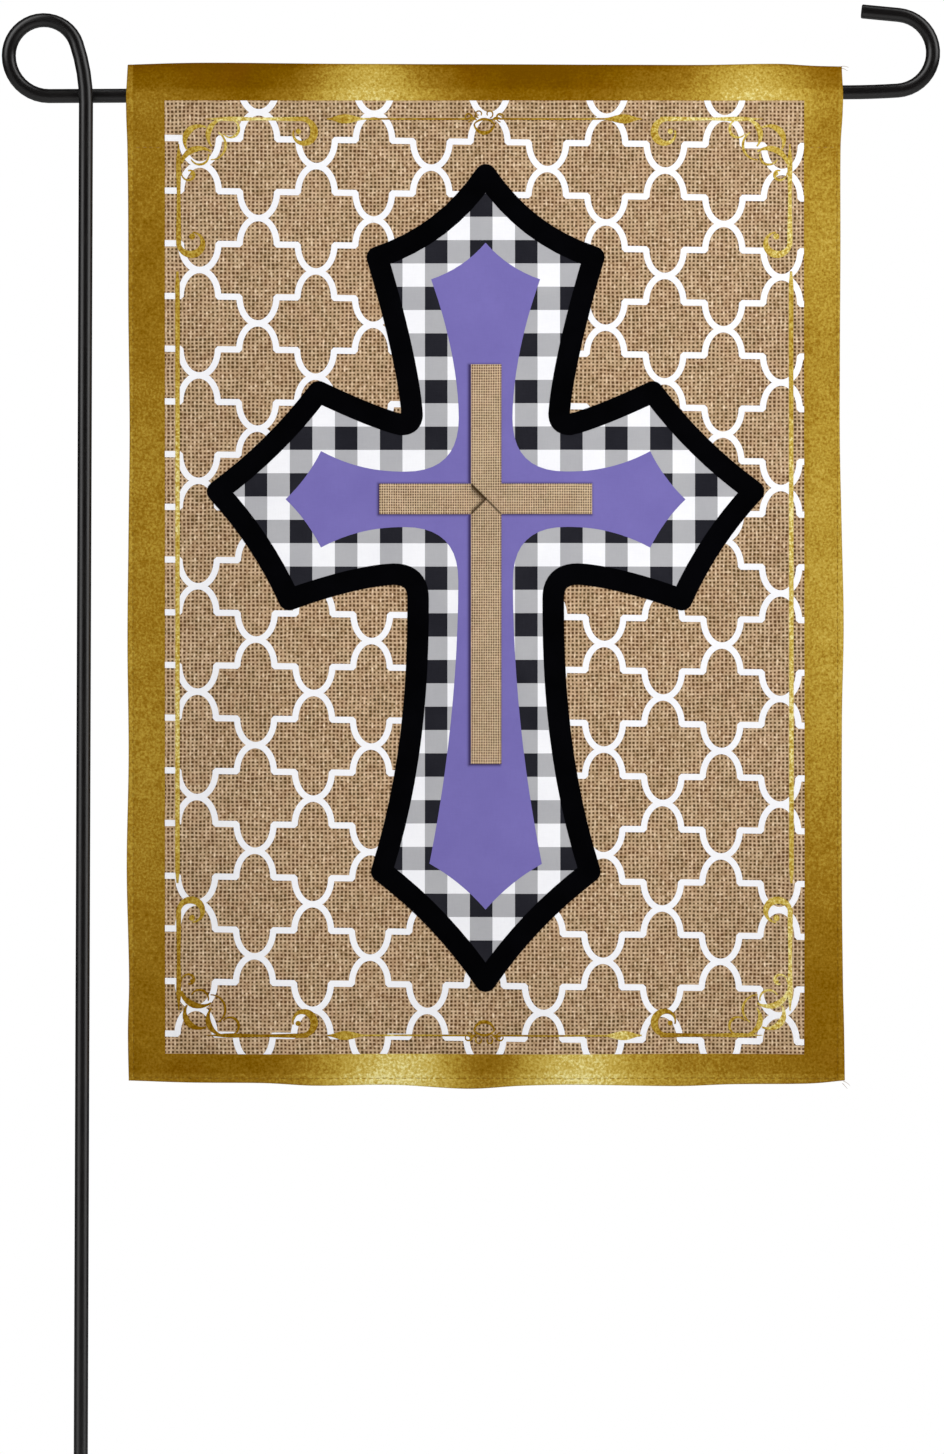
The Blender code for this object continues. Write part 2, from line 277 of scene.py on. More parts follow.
def relief(left, top):
    """Everything small on the cloth's face, as a depth at a place on the flat cloth."""
    total = ripples(left, top) + creases(left, top)
    total = total + sewn_edge(np.abs(left), HEM_STITCH, top)
    total = total + sewn_edge(np.abs(FLAG_WIDTH - left), HEM_STITCH, top + PUCKER_SHIFT)
    total = total + sewn_edge(np.abs(FLAG_HEIGHT - top), FOOT_STITCH, left)
    wander = SEAM_WANDER * np.sin(left * SEAM_WANDER_RATE)
    wave = np.sin(2.0 * math.pi * left / SEAM_WAVE + wander)
    near = np.exp(-(((top - SLEEVE_DROP) / SEAM_REACH) ** 2))
    return total + (SEAM_DIP + SEAM_PUCKER * wave) * near


print("relief at the stitches of the left hem, mm:", round(float(relief(HEM_STITCH, 0.2)) * 1000, 3))


# %% The sleeve round the rod
def arm_height(x):
    slope = (ARM_RIGHT_END[1] - ARM_LEFT_END[1]) / (ARM_RIGHT_END[0] - ARM_LEFT_END[0])
    return ARM_LEFT_END[1] + (x - ARM_LEFT_END[0]) * slope


def sleeve_half_gap(height, top, bottom):
    """Half the sleeve's inner width at a height over the arm: round the rod, then straight."""
    around = ROD_DIAMETER / 2.0 + CLEARANCE
    gap = np.sqrt(np.clip(around * around - height * height, 0.0, None))
    for tip, beyond in ((top, height > 0.0), (bottom, height < 0.0)):
        leaves_at = around * around / tip
        slope = around / np.sqrt(tip * tip - around * around)
        straight = np.clip((tip - np.abs(height)) * slope, 0.0, None)
        gap = np.where(beyond & (np.abs(height) > leaves_at), straight, gap)
    return gap


def sleeve_span(across):
    """The arm's height, and how far the sleeve reaches above and below it."""
    seam = SLEEVE_DROP / FLAG_HEIGHT
    arm = arm_height(edge_x(across, seam / 2.0))
    return arm, edge_z(across, 0.0) - FOLD_LIP - arm, arm - edge_z(across, seam)


print("the arm's height at the flag's left, m:", round(arm_height(FLAG_LEFT), 4))


# %% The depth of the cloth's face
def layer_depth(across, down):
    """The depth of the middle of the cloth's front layer."""
    x, z = edge_x(across, down), edge_z(across, down)
    middle = ARM_SETBACK + flutes(across, down) + lean(across, down)
    drop = down * FLAG_HEIGHT
    settled = smoothstep((drop - SLEEVE_DROP) / SETTLE_DROP)
    hanging = middle - (SHEET / 2.0 + SEAM_GAP) * (1.0 - settled)
    arm, top, bottom = sleeve_span(across)
    gap = np.maximum(sleeve_half_gap(z - arm, top, bottom), SEAM_GAP)
    gap = np.where(z - arm > 0.0, np.maximum(gap, FOLD_INNER), gap)
    depth = np.where(drop < SLEEVE_DROP, middle - gap - SHEET / 2.0, hanging)
    return depth + relief(x - FLAG_LEFT, FLAG_TOP - z)


def shares_at(left, top):
    """Shares of the hanging cloth's width and height, for distances from its left and top."""
    down = top / FLAG_HEIGHT
    start = -between(LEFT_EDGE, down, "out")
    stop = FLAG_WIDTH + between(RIGHT_EDGE, down, "out")
    across = (left - start) / (stop - start)
    above = -between(TOP_EDGE, across, "out")
    below = FLAG_HEIGHT + between(BOTTOM_EDGE, across, "out")
    return across, (top - above) / (below - above)


def face_depth(left, top):
    return layer_depth(*shares_at(left, top)) - SHEET / 2.0


SLOPE_STEP = 0.0003


def on_cloth(left, top, lift, step=SLOPE_STEP):
    """Points in space a little way out from the printed face, and the face's directions there."""
    left, top = np.asarray(left, float), np.asarray(top, float)
    slope_x = (face_depth(left + step, top) - face_depth(left - step, top)) / (2.0 * step)
    slope_z = (face_depth(left, top - step) - face_depth(left, top + step)) / (2.0 * step)
    facing = np.stack([slope_x, -np.ones_like(slope_x), slope_z], axis=-1)
    facing /= np.linalg.norm(facing, axis=-1, keepdims=True)
    places = np.stack([FLAG_LEFT + left, face_depth(left, top), FLAG_TOP - top], axis=-1)
    return places + facing * lift, facing


test_place, test_facing = on_cloth([0.16], [0.25], 0.0)
print("middle of the cloth's face:", test_place.round(4)[0], "facing", test_facing.round(3)[0])

# %% [markdown]
# ## Shader helpers
# A procedural material is a graph of small sums. Making each node by hand in Python soon hides
# what the graph says, so these helpers make one node each and hand back its output. Colours are
# given as the eye reads them, from 0 to 255, and turned into the linear values that light needs.

# %% One helper for each kind of node
def ink(red, green, blue):
    """A colour as seen, 0 to 255, turned into linear light."""
    parts = [v / 255.0 for v in (red, green, blue)]
    parts = [v / 12.92 if v <= 0.04045 else ((v + 0.055) / 1.055) ** 2.4 for v in parts]
    return (*parts, 1.0)


def add_node(tree, kind, **settings):
    new = tree.nodes.new(kind)
    for name, value in settings.items():
        setattr(new, name, value)
    return new


def feed(tree, socket, value):
    """Gives a socket a link, or a plain value."""
    if isinstance(value, bpy.types.NodeSocket):
        tree.links.new(value, socket)
    else:
        socket.default_value = value


def calc(tree, operation, *values, clamp=False):
    new = add_node(tree, "ShaderNodeMath", operation=operation, use_clamp=clamp)
    for socket, value in zip(new.inputs, values):
        feed(tree, socket, value)
    return new.outputs[0]


def mix_colour(tree, share, first, second, how="MIX"):
    new = add_node(tree, "ShaderNodeMix", data_type="RGBA", blend_type=how)
    for name, value in (("Factor_Float", share), ("A_Color", first), ("B_Color", second)):
        socket = next(s for s in new.inputs if s.identifier == name)
        feed(tree, socket, value)
    return next(s for s in new.outputs if s.identifier == "Result_Color")


def fit(tree, value, low, high, to_low=0.0, to_high=1.0, smooth=False):
    """Maps a range of values onto another, and holds it at both ends."""
    new = add_node(tree, "ShaderNodeMapRange")
    if smooth:
        new.interpolation_type = "SMOOTHSTEP"
    for name, number in (("Value", value), ("From Min", low), ("From Max", high),
                         ("To Min", to_low), ("To Max", to_high)):
        feed(tree, new.inputs[name], number)
    return new.outputs["Result"]


print("white in linear light:", tuple(round(v, 3) for v in ink(250, 250, 255)))


# %% Helpers for textures, vectors and ramps
def noise(tree, place, scale, detail=2.0, roughness=0.5):
    new = add_node(tree, "ShaderNodeTexNoise", noise_dimensions="3D")
    for name, value in (("Vector", place), ("Scale", scale), ("Detail", detail),
                        ("Roughness", roughness)):
        feed(tree, new.inputs[name], value)
    return new.outputs["Fac"]


def combine(tree, x, y, z):
    new = add_node(tree, "ShaderNodeCombineXYZ")
    for socket, value in zip(new.inputs, (x, y, z)):
        feed(tree, socket, value)
    return new.outputs[0]


def parts_of(tree, vector):
    new = add_node(tree, "ShaderNodeSeparateXYZ")
    feed(tree, new.inputs[0], vector)
    return new.outputs


def ramp(tree, value, stops):
    new = add_node(tree, "ShaderNodeValToRGB")
    elements = new.color_ramp.elements
    while len(elements) < len(stops):
        elements.new(0.5)
    for element, (place, colour) in zip(elements, stops):
        element.position = place
        element.color = colour
    feed(tree, new.inputs["Fac"], value)
    return new.outputs["Color"]


print("texture helpers:", [helper.__name__ for helper in (noise, combine, parts_of, ramp)])


# %% Making a node group and placing it
def make_group(name, inputs, outputs):
    """An empty group that takes a place and named numbers, and gives named numbers."""
    tree = bpy.data.node_groups.new(name, "ShaderNodeTree")
    number = "NodeSocketFloat"
    tree.interface.new_socket(name="Place", in_out="INPUT", socket_type="NodeSocketVector")
    for label, value in inputs.items():
        socket = tree.interface.new_socket(name=label, in_out="INPUT", socket_type=number)
        socket.default_value = value
    for label in outputs:
        tree.interface.new_socket(name=label, in_out="OUTPUT", socket_type=number)
    return tree, add_node(tree, "NodeGroupInput").outputs, add_node(tree, "NodeGroupOutput").inputs


def place_group(tree, group, **values):
    """Puts a group into a material and sets its inputs; a socket's spaces are written as _."""
    new = add_node(tree, "ShaderNodeGroup", node_tree=group)
    for name, value in values.items():
        feed(tree, new.inputs[name.replace("_", " ")], value)
    return new.outputs


print("node groups so far:", len(bpy.data.node_groups))

# %% [markdown]
# ## Shared finishes
# Three effects are used by more than one material, so each is a node group with named inputs that
# every material sets for itself. The first is the flag's own cloth: a brushed polyester whose fine
# threads run up and across and give every ink a faint grain. The second is printed burlap: a weave
# of loose threads with dark gaps, which is only ink here, so it has tone but no height. The third
# is printed gold, whose light patches come from a value on the mesh, with a grain that sparkles
# most where it is bright. A scanned picture could give all three, but it would show its repeat,
# while these sums stay sharp at any distance.

# %% The cloth's own grain
# A thread's tone changes slowly along it. Slow patches add this share of their own tone.
ALONG_THREAD = 0.14
PATCH_SHARE = 0.35
WEFT_SEED, WARP_SEED = 3.0, 9.0


def make_cloth_grain():
    tree, given, result = make_group(
        "cloth_grain", {"Thread": 0.0006, "Patch": 0.03}, ("Shade", "Height"))
    x, _, z = parts_of(tree, given["Place"])
    u = calc(tree, "DIVIDE", x, given["Thread"])
    v = calc(tree, "DIVIDE", z, given["Thread"])
    weft = noise(tree, combine(tree, calc(tree, "MULTIPLY", u, ALONG_THREAD), v, WEFT_SEED), 1.0)
    warp = noise(tree, combine(tree, u, calc(tree, "MULTIPLY", v, ALONG_THREAD), WARP_SEED), 1.0)
    threads = calc(tree, "ADD", weft, warp)
    height = calc(tree, "MULTIPLY", threads, 0.5)
    patch = noise(tree, given["Place"], calc(tree, "DIVIDE", 1.0, given["Patch"]), 3.0)
    slow = calc(tree, "SUBTRACT", patch, 0.5)
    fine = calc(tree, "SUBTRACT", height, 0.5)
    slow = calc(tree, "MULTIPLY", slow, PATCH_SHARE)
    feed(tree, result["Shade"], calc(tree, "ADD", fine, slow))
    feed(tree, result["Height"], height)
    return tree


CLOTH_GRAIN = make_cloth_grain()
print("group:", CLOTH_GRAIN.name, [s.name for s in CLOTH_GRAIN.interface.items_tree])


# %% The tones of the burlap print's threads
# A thread's own tone: how unlike its neighbour's it is, and how fast it changes along the thread.
THREAD_STEP, THREAD_RUN, THREAD_ROUGHNESS = 7.31, 0.42, 0.7
WARP_DRAW, WEFT_DRAW, HOLE_DRAW = 2.0, 8.0, 5.0
# What a strand's round back, its own tone and its base add to its shade.
Strand = namedtuple("Strand", "back own base")
WARP = Strand(0.42, 0.95, 0.255)
WEFT = Strand(0.40, 0.85, 0.235)


def thread_tone(tree, number, along, draw):
    """The tone of one thread, by its number. It changes along the thread."""
    across = calc(tree, "MULTIPLY", number, THREAD_STEP)
    place = combine(tree, across, calc(tree, "MULTIPLY", along, THREAD_RUN), draw)
    return noise(tree, place, 1.0, 2.0, THREAD_ROUGHNESS)


def strand_shade(tree, strand, back, own):
    base = calc(tree, "MULTIPLY_ADD", own, strand.own, strand.base)
    return calc(tree, "MULTIPLY_ADD", back, strand.back, base)


print("strand shades run up to", WARP.back + WARP.own / 2.0 + WARP.base)

# %% The burlap print's weave
# Waves in a metre of the threads' sway, of patches with wider holes, and of slow tones.
SWAY_SCALE, HOLE_PATCH_SCALE, SLOW_SCALE = 95.0, 85.0, 26.0
# A hole's size: how much it differs from hole to hole, its mean, and its range over the patches.
HOLE_SPREAD, HOLE_MEAN, HOLE_PATCHES = 0.42, 0.97, (0.30, 0.70, 0.90, 1.10)
HOLE_EDGE = (1.15, 0.45)
# Which thread lies on top at a crossing: how far it leads, and how softly that changes.
TOP_LEAD, TOP_EASE = 0.5, 0.40
SLOW_TONE = 0.07


def make_burlap_weave():
    tree, given, result = make_group(
        "burlap_weave",
        {"Pitch across": 0.00175, "Pitch down": 0.00175, "Wander": 0.8, "Hole": 0.33, "Uneven": 1.0},
        ("Tone", "Opening"))
    x, _, z = parts_of(tree, given["Place"])
    sway = noise(tree, given["Place"], SWAY_SCALE).node.outputs["Color"]
    sway_x, sway_z, _ = parts_of(tree, sway)
    lines = []
    for value, pitch, drift in ((x, "Pitch across", sway_x), (z, "Pitch down", sway_z)):
        moved = calc(tree, "MULTIPLY", calc(tree, "SUBTRACT", drift, 0.5), given["Wander"])
        lines.append(calc(tree, "ADD", calc(tree, "DIVIDE", value, given[pitch]), moved))
    u, v = lines
    # A hole sits at every whole number. Its size changes from hole to hole and from patch to patch.
    hole_u, hole_v = (calc(tree, "ROUND", line) for line in lines)
    off_u, off_v = calc(tree, "SUBTRACT", u, hole_u), calc(tree, "SUBTRACT", v, hole_v)
    cubes = [calc(tree, "POWER", calc(tree, "ABSOLUTE", off), 3.0) for off in (off_u, off_v)]
    far = calc(tree, "POWER", calc(tree, "ADD", *cubes), 1.0 / 3.0)
    chance = add_node(tree, "ShaderNodeTexWhiteNoise", noise_dimensions="3D")
    feed(tree, chance.inputs["Vector"], combine(tree, hole_u, hole_v, HOLE_DRAW))
    patch = noise(tree, given["Place"], HOLE_PATCH_SCALE, 2.0, 0.6)
    room = calc(tree, "SUBTRACT", chance.outputs["Value"], 0.5)
    room = calc(tree, "MULTIPLY", room, given["Uneven"])
    room = calc(tree, "MULTIPLY_ADD", room, HOLE_SPREAD, HOLE_MEAN)
    room = calc(tree, "MULTIPLY", room, fit(tree, patch, *HOLE_PATCHES))
    room = calc(tree, "MULTIPLY", room, given["Hole"])
    feed(tree, result["Opening"], fit(tree, calc(tree, "DIVIDE", far, room), *HOLE_EDGE, smooth=True))
    # The threads run between the holes. Warp and weft take turns on top, as on a chess board.
    warp = thread_tone(tree, calc(tree, "FLOOR", u), v, WARP_DRAW)
    weft = thread_tone(tree, calc(tree, "FLOOR", v), u, WEFT_DRAW)
    warp, weft = (calc(tree, "MULTIPLY", calc(tree, "SUBTRACT", tone, 0.5), given["Uneven"])
                  for tone in (warp, weft))
    wave_u, wave_v = (calc(tree, "SINE", calc(tree, "MULTIPLY", line, math.pi)) for line in lines)
    over = calc(tree, "MULTIPLY", wave_u, wave_v)
    ridge_u, ridge_v = calc(tree, "ABSOLUTE", wave_u), calc(tree, "ABSOLUTE", wave_v)
    lead = calc(tree, "MULTIPLY_ADD", over, TOP_LEAD, calc(tree, "SUBTRACT", ridge_u, ridge_v))
    share = fit(tree, lead, -TOP_EASE, TOP_EASE, smooth=True)
    warp_tone = strand_shade(tree, WARP, ridge_u, warp)
    weft_tone = strand_shade(tree, WEFT, ridge_v, weft)
    part = calc(tree, "MULTIPLY", calc(tree, "SUBTRACT", warp_tone, weft_tone), share)
    slow = noise(tree, given["Place"], SLOW_SCALE)
    slow = calc(tree, "MULTIPLY", calc(tree, "SUBTRACT", slow, 0.5), SLOW_TONE)
    feed(tree, result["Tone"], calc(tree, "ADD", calc(tree, "ADD", weft_tone, part), slow))
    return tree


BURLAP_WEAVE = make_burlap_weave()
print("group:", BURLAP_WEAVE.name, len(BURLAP_WEAVE.nodes), "nodes")


# %% The gold print's grain
# Waves in a metre of its clouds and of its weft, and what these two add to its level.
FOIL_CLOUD_SCALE = 75.0
FOIL_WEFT_ACROSS, FOIL_WEFT_DOWN = 190.0, 1250.0
CLOUD_SHARE, WEFT_SHARE = 0.20, 0.09
# The specks sparkle least on dull gold, and more by this much where it is light.
SPARKLE_LEAST, SPARKLE_BY_GLINT = 0.28, 1.15


def make_foil_grain():
    tree, given, result = make_group(
        "foil_grain", {"Glint": 0.0, "Grain": 0.0011, "Contrast": 1.0}, ("Level", "Fleck"))
    speck = noise(tree, given["Place"], calc(tree, "DIVIDE", 1.0, given["Grain"]), 2.0, 0.6)
    speck = calc(tree, "SUBTRACT", speck, 0.5)
    cloud = noise(tree, given["Place"], FOIL_CLOUD_SCALE, 3.0, 0.55)
    cloud = calc(tree, "SUBTRACT", cloud, 0.5)
    x, _, z = parts_of(tree, given["Place"])
    x = calc(tree, "MULTIPLY", x, FOIL_WEFT_ACROSS)
    z = calc(tree, "MULTIPLY", z, FOIL_WEFT_DOWN)
    weft = noise(tree, combine(tree, x, z, 1.0), 1.0, 1.0)
    weft = calc(tree, "SUBTRACT", weft, 0.5)
    sparkle = calc(tree, "MULTIPLY_ADD", given["Glint"], SPARKLE_BY_GLINT, SPARKLE_LEAST)
    sparkle = calc(tree, "MULTIPLY", sparkle, given["Contrast"])
    level = calc(tree, "MULTIPLY_ADD", speck, sparkle, given["Glint"])
    level = calc(tree, "MULTIPLY_ADD", cloud, CLOUD_SHARE, level)
    level = calc(tree, "MULTIPLY_ADD", weft, WEFT_SHARE, level)
    feed(tree, result["Level"], calc(tree, "ADD", level, 0.0, clamp=True))
    feed(tree, result["Fleck"], calc(tree, "ADD", speck, 0.5, clamp=True))
    return tree


FOIL_GRAIN = make_foil_grain()
print("group:", FOIL_GRAIN.name, len(FOIL_GRAIN.nodes), "nodes")

# %% [markdown]
# ## The inks
# Every print sits on the same cloth, so each material is its own ink with the shared cloth grain
# in its colour and its bump. A print has no height of its own, and its shine is the cloth's faint
# one. The gold is ink as well, not metal, so its glints are tones and not reflections.

# %% Inks on cloth
CLOTH_ROUGHNESS = 0.82
CLOTH_SHINE = 0.015
CLOTH_BUMP = 0.25
CLOTH_BUMP_HEIGHT = 0.00012
# A plain ink drifts between its two tones in soft patches, this many to the metre.
DRIFT_SCALE, DRIFT_RANGE = 48.0, (0.35, 0.65)


def new_material(name):
    material = bpy.data.materials.new(name)
    material.use_nodes = True
    tree = material.node_tree
    shader = tree.nodes["Principled BSDF"]
    place = add_node(tree, "ShaderNodeTexCoord").outputs["Object"]
    return material, tree, shader, place


def cloth_surface(tree, shader, place, colour, grain, thread=0.0006):
    """Joins an ink's colour to the cloth's grain, in tone and in bump."""
    given = place_group(tree, CLOTH_GRAIN, Place=place, Thread=thread)
    shade = calc(tree, "MULTIPLY_ADD", given["Shade"], grain, 1.0)
    shaded = add_node(tree, "ShaderNodeVectorMath", operation="SCALE")
    feed(tree, shaded.inputs[0], colour)
    feed(tree, shaded.inputs["Scale"], shade)
    feed(tree, shader.inputs["Base Color"], shaded.outputs[0])
    bump = add_node(tree, "ShaderNodeBump")
    bump.inputs["Strength"].default_value = CLOTH_BUMP
    bump.inputs["Distance"].default_value = CLOTH_BUMP_HEIGHT
    feed(tree, bump.inputs["Height"], given["Height"])
    feed(tree, shader.inputs["Normal"], bump.outputs["Normal"])
    shader.inputs["Roughness"].default_value = CLOTH_ROUGHNESS
    shader.inputs["Specular IOR Level"].default_value = CLOTH_SHINE


def flat_ink(name, colour, other, grain):
    material, tree, shader, place = new_material(name)
    drift = fit(tree, noise(tree, place, DRIFT_SCALE, 3.0), *DRIFT_RANGE)
    cloth_surface(tree, shader, place, mix_colour(tree, drift, colour, other), grain)
    return material


WHITE_INK = flat_ink("white_ink", ink(244, 244, 247), ink(240, 240, 244), 0.10)
GREY_INK = flat_ink("grey_ink", ink(176, 176, 179), ink(171, 171, 175), 0.16)
DARK_INK = flat_ink("dark_ink", ink(38, 38, 44), ink(33, 33, 39), 0.5)
BLACK_INK = flat_ink("black_ink", ink(2, 2, 3), ink(4, 4, 6), 0.6)
PLAIN_BACK = flat_ink("plain_back", ink(226, 216, 196), ink(219, 208, 187), 0.22)
HEM_THREAD = flat_ink("hem_thread", ink(146, 108, 34), ink(128, 92, 24), 0.5)
FRONT_THREAD = flat_ink("front_thread", ink(150, 118, 74), ink(136, 106, 66), 0.5)
SEAM_THREAD = flat_ink("seam_thread", ink(176, 146, 112), ink(160, 130, 98), 0.5)
print("plain inks:", [m.name for m in bpy.data.materials if m.name.endswith("ink")])

# %% The gold print
# Its tones from dull to bright, and the rusty brown that it takes where it is dullest.
GOLD_STOPS = (
    (0.00, ink(106, 69, 0)),
    (0.13, ink(121, 83, 0)),
    (0.32, ink(147, 110, 26)),
    (0.52, ink(176, 145, 53)),
    (0.72, ink(197, 170, 79)),
    (0.90, ink(216, 199, 118)),
    (1.00, ink(233, 221, 153)),
)
RUST_INK = ink(128, 70, 10)
RUST_SCALE, RUST_RANGE, RUST_BELOW = 30.0, (0.50, 0.72), 0.35
GOLD_GRAIN = 0.22
GOLD_ROUGHNESS = (0.62, 0.50)


def make_gold_print(name, contrast):
    material, tree, shader, place = new_material(name)
    glint = add_node(tree, "ShaderNodeAttribute", attribute_name="glint").outputs["Fac"]
    foil = place_group(tree, FOIL_GRAIN, Place=place, Glint=glint, Contrast=contrast)
    colour = ramp(tree, foil["Level"], GOLD_STOPS)
    rust = fit(tree, noise(tree, place, RUST_SCALE, 3.0), *RUST_RANGE)
    rust = calc(tree, "MULTIPLY", rust, calc(tree, "SUBTRACT", RUST_BELOW, glint, clamp=True))
    colour = mix_colour(tree, rust, colour, RUST_INK)
    cloth_surface(tree, shader, place, colour, GOLD_GRAIN)
    roughness = fit(tree, foil["Fleck"], 0.2, 0.8, *GOLD_ROUGHNESS)
    feed(tree, shader.inputs["Roughness"], roughness)
    return material


GOLD_PRINT = make_gold_print("gold_print", 1.0)
GOLD_LINE = make_gold_print("gold_line", 1.6)
print("gold stops:", len(GOLD_STOPS))

# %% The two burlap prints
# The ground's threads are wide and loose, the strips' are fine and even.
BURLAP_STOPS = (
    (0.10, ink(108, 80, 48)), (0.36, ink(151, 121, 88)), (0.52, ink(178, 148, 115)),
    (0.68, ink(203, 174, 141)), (0.90, ink(244, 220, 188)),
)
RIBBON_STOPS = (
    (0.10, ink(104, 76, 46)), (0.36, ink(157, 130, 98)), (0.52, ink(190, 163, 131)),
    (0.68, ink(218, 193, 162)), (0.90, ink(248, 226, 196)),
)
BURLAP_GRAIN = 0.14
GAP_DEPTH = 0.96
# A faint tint wanders from green to pink over the weave.
GREEN_TINT, PINK_TINT = ink(148, 136, 92), ink(178, 134, 98)
TINT_SCALE, TINT_RANGE, TINT_SHARE = 140.0, (0.40, 0.62), 0.10
FOLD_INK = ink(46, 30, 12)


def make_burlap_print(name, pitches, wander, hole, uneven, gap_ink, stops):
    material, tree, shader, place = new_material(name)
    weave = place_group(tree, BURLAP_WEAVE, Place=place, Pitch_across=pitches[0],
                        Pitch_down=pitches[1], Wander=wander, Hole=hole, Uneven=uneven)
    colour = ramp(tree, weave["Tone"], stops)
    colour = mix_colour(tree, calc(tree, "MULTIPLY", weave["Opening"], GAP_DEPTH), colour, gap_ink)
    warm = fit(tree, noise(tree, place, TINT_SCALE), *TINT_RANGE)
    tint = mix_colour(tree, warm, GREEN_TINT, PINK_TINT)
    colour = mix_colour(tree, TINT_SHARE, colour, tint)
    folded = add_node(tree, "ShaderNodeAttribute", attribute_name="fold_shade").outputs["Fac"]
    colour = mix_colour(tree, folded, colour, FOLD_INK)
    cloth_surface(tree, shader, place, colour, BURLAP_GRAIN)
    return material


BURLAP_PRINT = make_burlap_print(
    "burlap_print", pitches=(0.00181, 0.001755), wander=0.7, hole=0.365, uneven=1.0,
    gap_ink=ink(60, 32, 4), stops=BURLAP_STOPS)
RIBBON_PRINT = make_burlap_print(
    "ribbon_print", pitches=(0.00106, 0.00118), wander=0.3, hole=0.41, uneven=0.45,
    gap_ink=ink(66, 38, 10), stops=RIBBON_STOPS)
print("burlap prints:", BURLAP_PRINT.name, RIBBON_PRINT.name)

# %% [markdown]
# ## The violet print and its painted shadow
# The strips on the violet look raised only because a soft dark edge is printed beside them. An
# image could hold that, but a sum does it too: the distance from a bar, mapped to a fading shade.
# The bar's middle and half sizes are the group's inputs, so one group serves both strips.

# %% The shadow of a bar
STRIP_HALF = 0.0068
UPRIGHT_MIDDLE, UPRIGHT_TOP, UPRIGHT_FOOT = 0.1606, 0.1347, 0.3136
CROSSBAR_MIDDLE, CROSSBAR_LEFT, CROSSBAR_RIGHT = 0.1950, 0.1127, 0.2079
# The shadow's reach, how far it lies to the left of its strip, and the lesser share of that
# shift which goes downwards, or to the left of the crossbar.
SHADOW_REACH = 0.0017
SHADOW_SHIFT = 0.0009
LESSER_SHIFT = 0.4


def make_bar_shadow():
    tree, given, result = make_group(
        "bar_shadow",
        {"Middle x": 0.0, "Middle z": 0.0, "Half width": 0.01, "Half height": 0.01, "Reach": 0.003},
        ("Shadow",))
    x, _, z = parts_of(tree, given["Place"])
    beyond = []
    for value, middle, half in ((x, "Middle x", "Half width"), (z, "Middle z", "Half height")):
        off = calc(tree, "ABSOLUTE", calc(tree, "SUBTRACT", value, given[middle]))
        beyond.append(calc(tree, "MAXIMUM", calc(tree, "SUBTRACT", off, given[half]), 0.0))
    far = calc(tree, "SQRT", calc(tree, "ADD", calc(tree, "POWER", beyond[0], 2.0),
                                  calc(tree, "POWER", beyond[1], 2.0)))
    near = calc(tree, "SUBTRACT", 1.0, calc(tree, "DIVIDE", far, given["Reach"]), clamp=True)
    feed(tree, result["Shadow"], calc(tree, "MULTIPLY", near, near))
    return tree


BAR_SHADOW = make_bar_shadow()
print("group:", BAR_SHADOW.name, "strips:", STRIP_HALF * 2000.0, "mm wide")

# %% The violet ink with its two shadows
VIOLET_DRIFT_SCALE, VIOLET_DRIFT_RANGE = 60.0, (0.32, 0.68)
SHADOW_INK, SHADOW_DEPTH = ink(48, 36, 74), 0.85
VIOLET_GRAIN = 0.14


def strip_shadow(tree, place, left, right, top, foot, shift):
    return place_group(
        tree, BAR_SHADOW, Place=place, Reach=SHADOW_REACH,
        Middle_x=FLAG_LEFT + (left + right) / 2.0 - shift,
        Middle_z=FLAG_TOP - (top + foot) / 2.0 - shift * LESSER_SHIFT,
        Half_width=(right - left) / 2.0, Half_height=(foot - top) / 2.0)["Shadow"]


def make_violet_ink():
    material, tree, shader, place = new_material("violet_ink")
    drift = noise(tree, place, VIOLET_DRIFT_SCALE, 4.0)
    drift = fit(tree, drift, *VIOLET_DRIFT_RANGE)
    colour = mix_colour(tree, drift, ink(115, 106, 173), ink(119, 110, 177))
    upright = strip_shadow(tree, place, UPRIGHT_MIDDLE - STRIP_HALF, UPRIGHT_MIDDLE + STRIP_HALF,
                           UPRIGHT_TOP, UPRIGHT_FOOT, SHADOW_SHIFT)
    crossbar = strip_shadow(tree, place, CROSSBAR_LEFT, CROSSBAR_RIGHT,
                            CROSSBAR_MIDDLE - STRIP_HALF, CROSSBAR_MIDDLE + STRIP_HALF,
                            SHADOW_SHIFT * LESSER_SHIFT)
    shadow = calc(tree, "MULTIPLY", calc(tree, "MAXIMUM", upright, crossbar), SHADOW_DEPTH)
    colour = mix_colour(tree, shadow, colour, SHADOW_INK)
    cloth_surface(tree, shader, place, colour, VIOLET_GRAIN)
    return material


VIOLET_INK = make_violet_ink()
print("violet ink:", len(VIOLET_INK.node_tree.nodes), "nodes")

# %% [markdown]
# ## The steel rod
# The stand is bent from round steel rod under a satin black powder coat, whose skin is very
# slightly pebbled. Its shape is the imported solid, which stays as it is. That mesh is made of flat
# facets with stored normals, so it would shine in stripes. A finer rod could be swept here, but
# then two shapes would have to be kept alike. A modifier is enough: it joins the facets' corners,
# drops the stored normals and shades the surface round, and only the cut ends stay sharp.

# %% Satin black powder coat
COAT_INKS = (ink(11, 9, 9), ink(15, 13, 12))
COAT_ROUGHNESS = (0.30, 0.38)
DUST_SCALE, DUST_RANGE = 45.0, (0.45, 0.75)
PEBBLE_SCALE, PEBBLE_BUMP, PEBBLE_HEIGHT = 900.0, 0.35, 0.00004


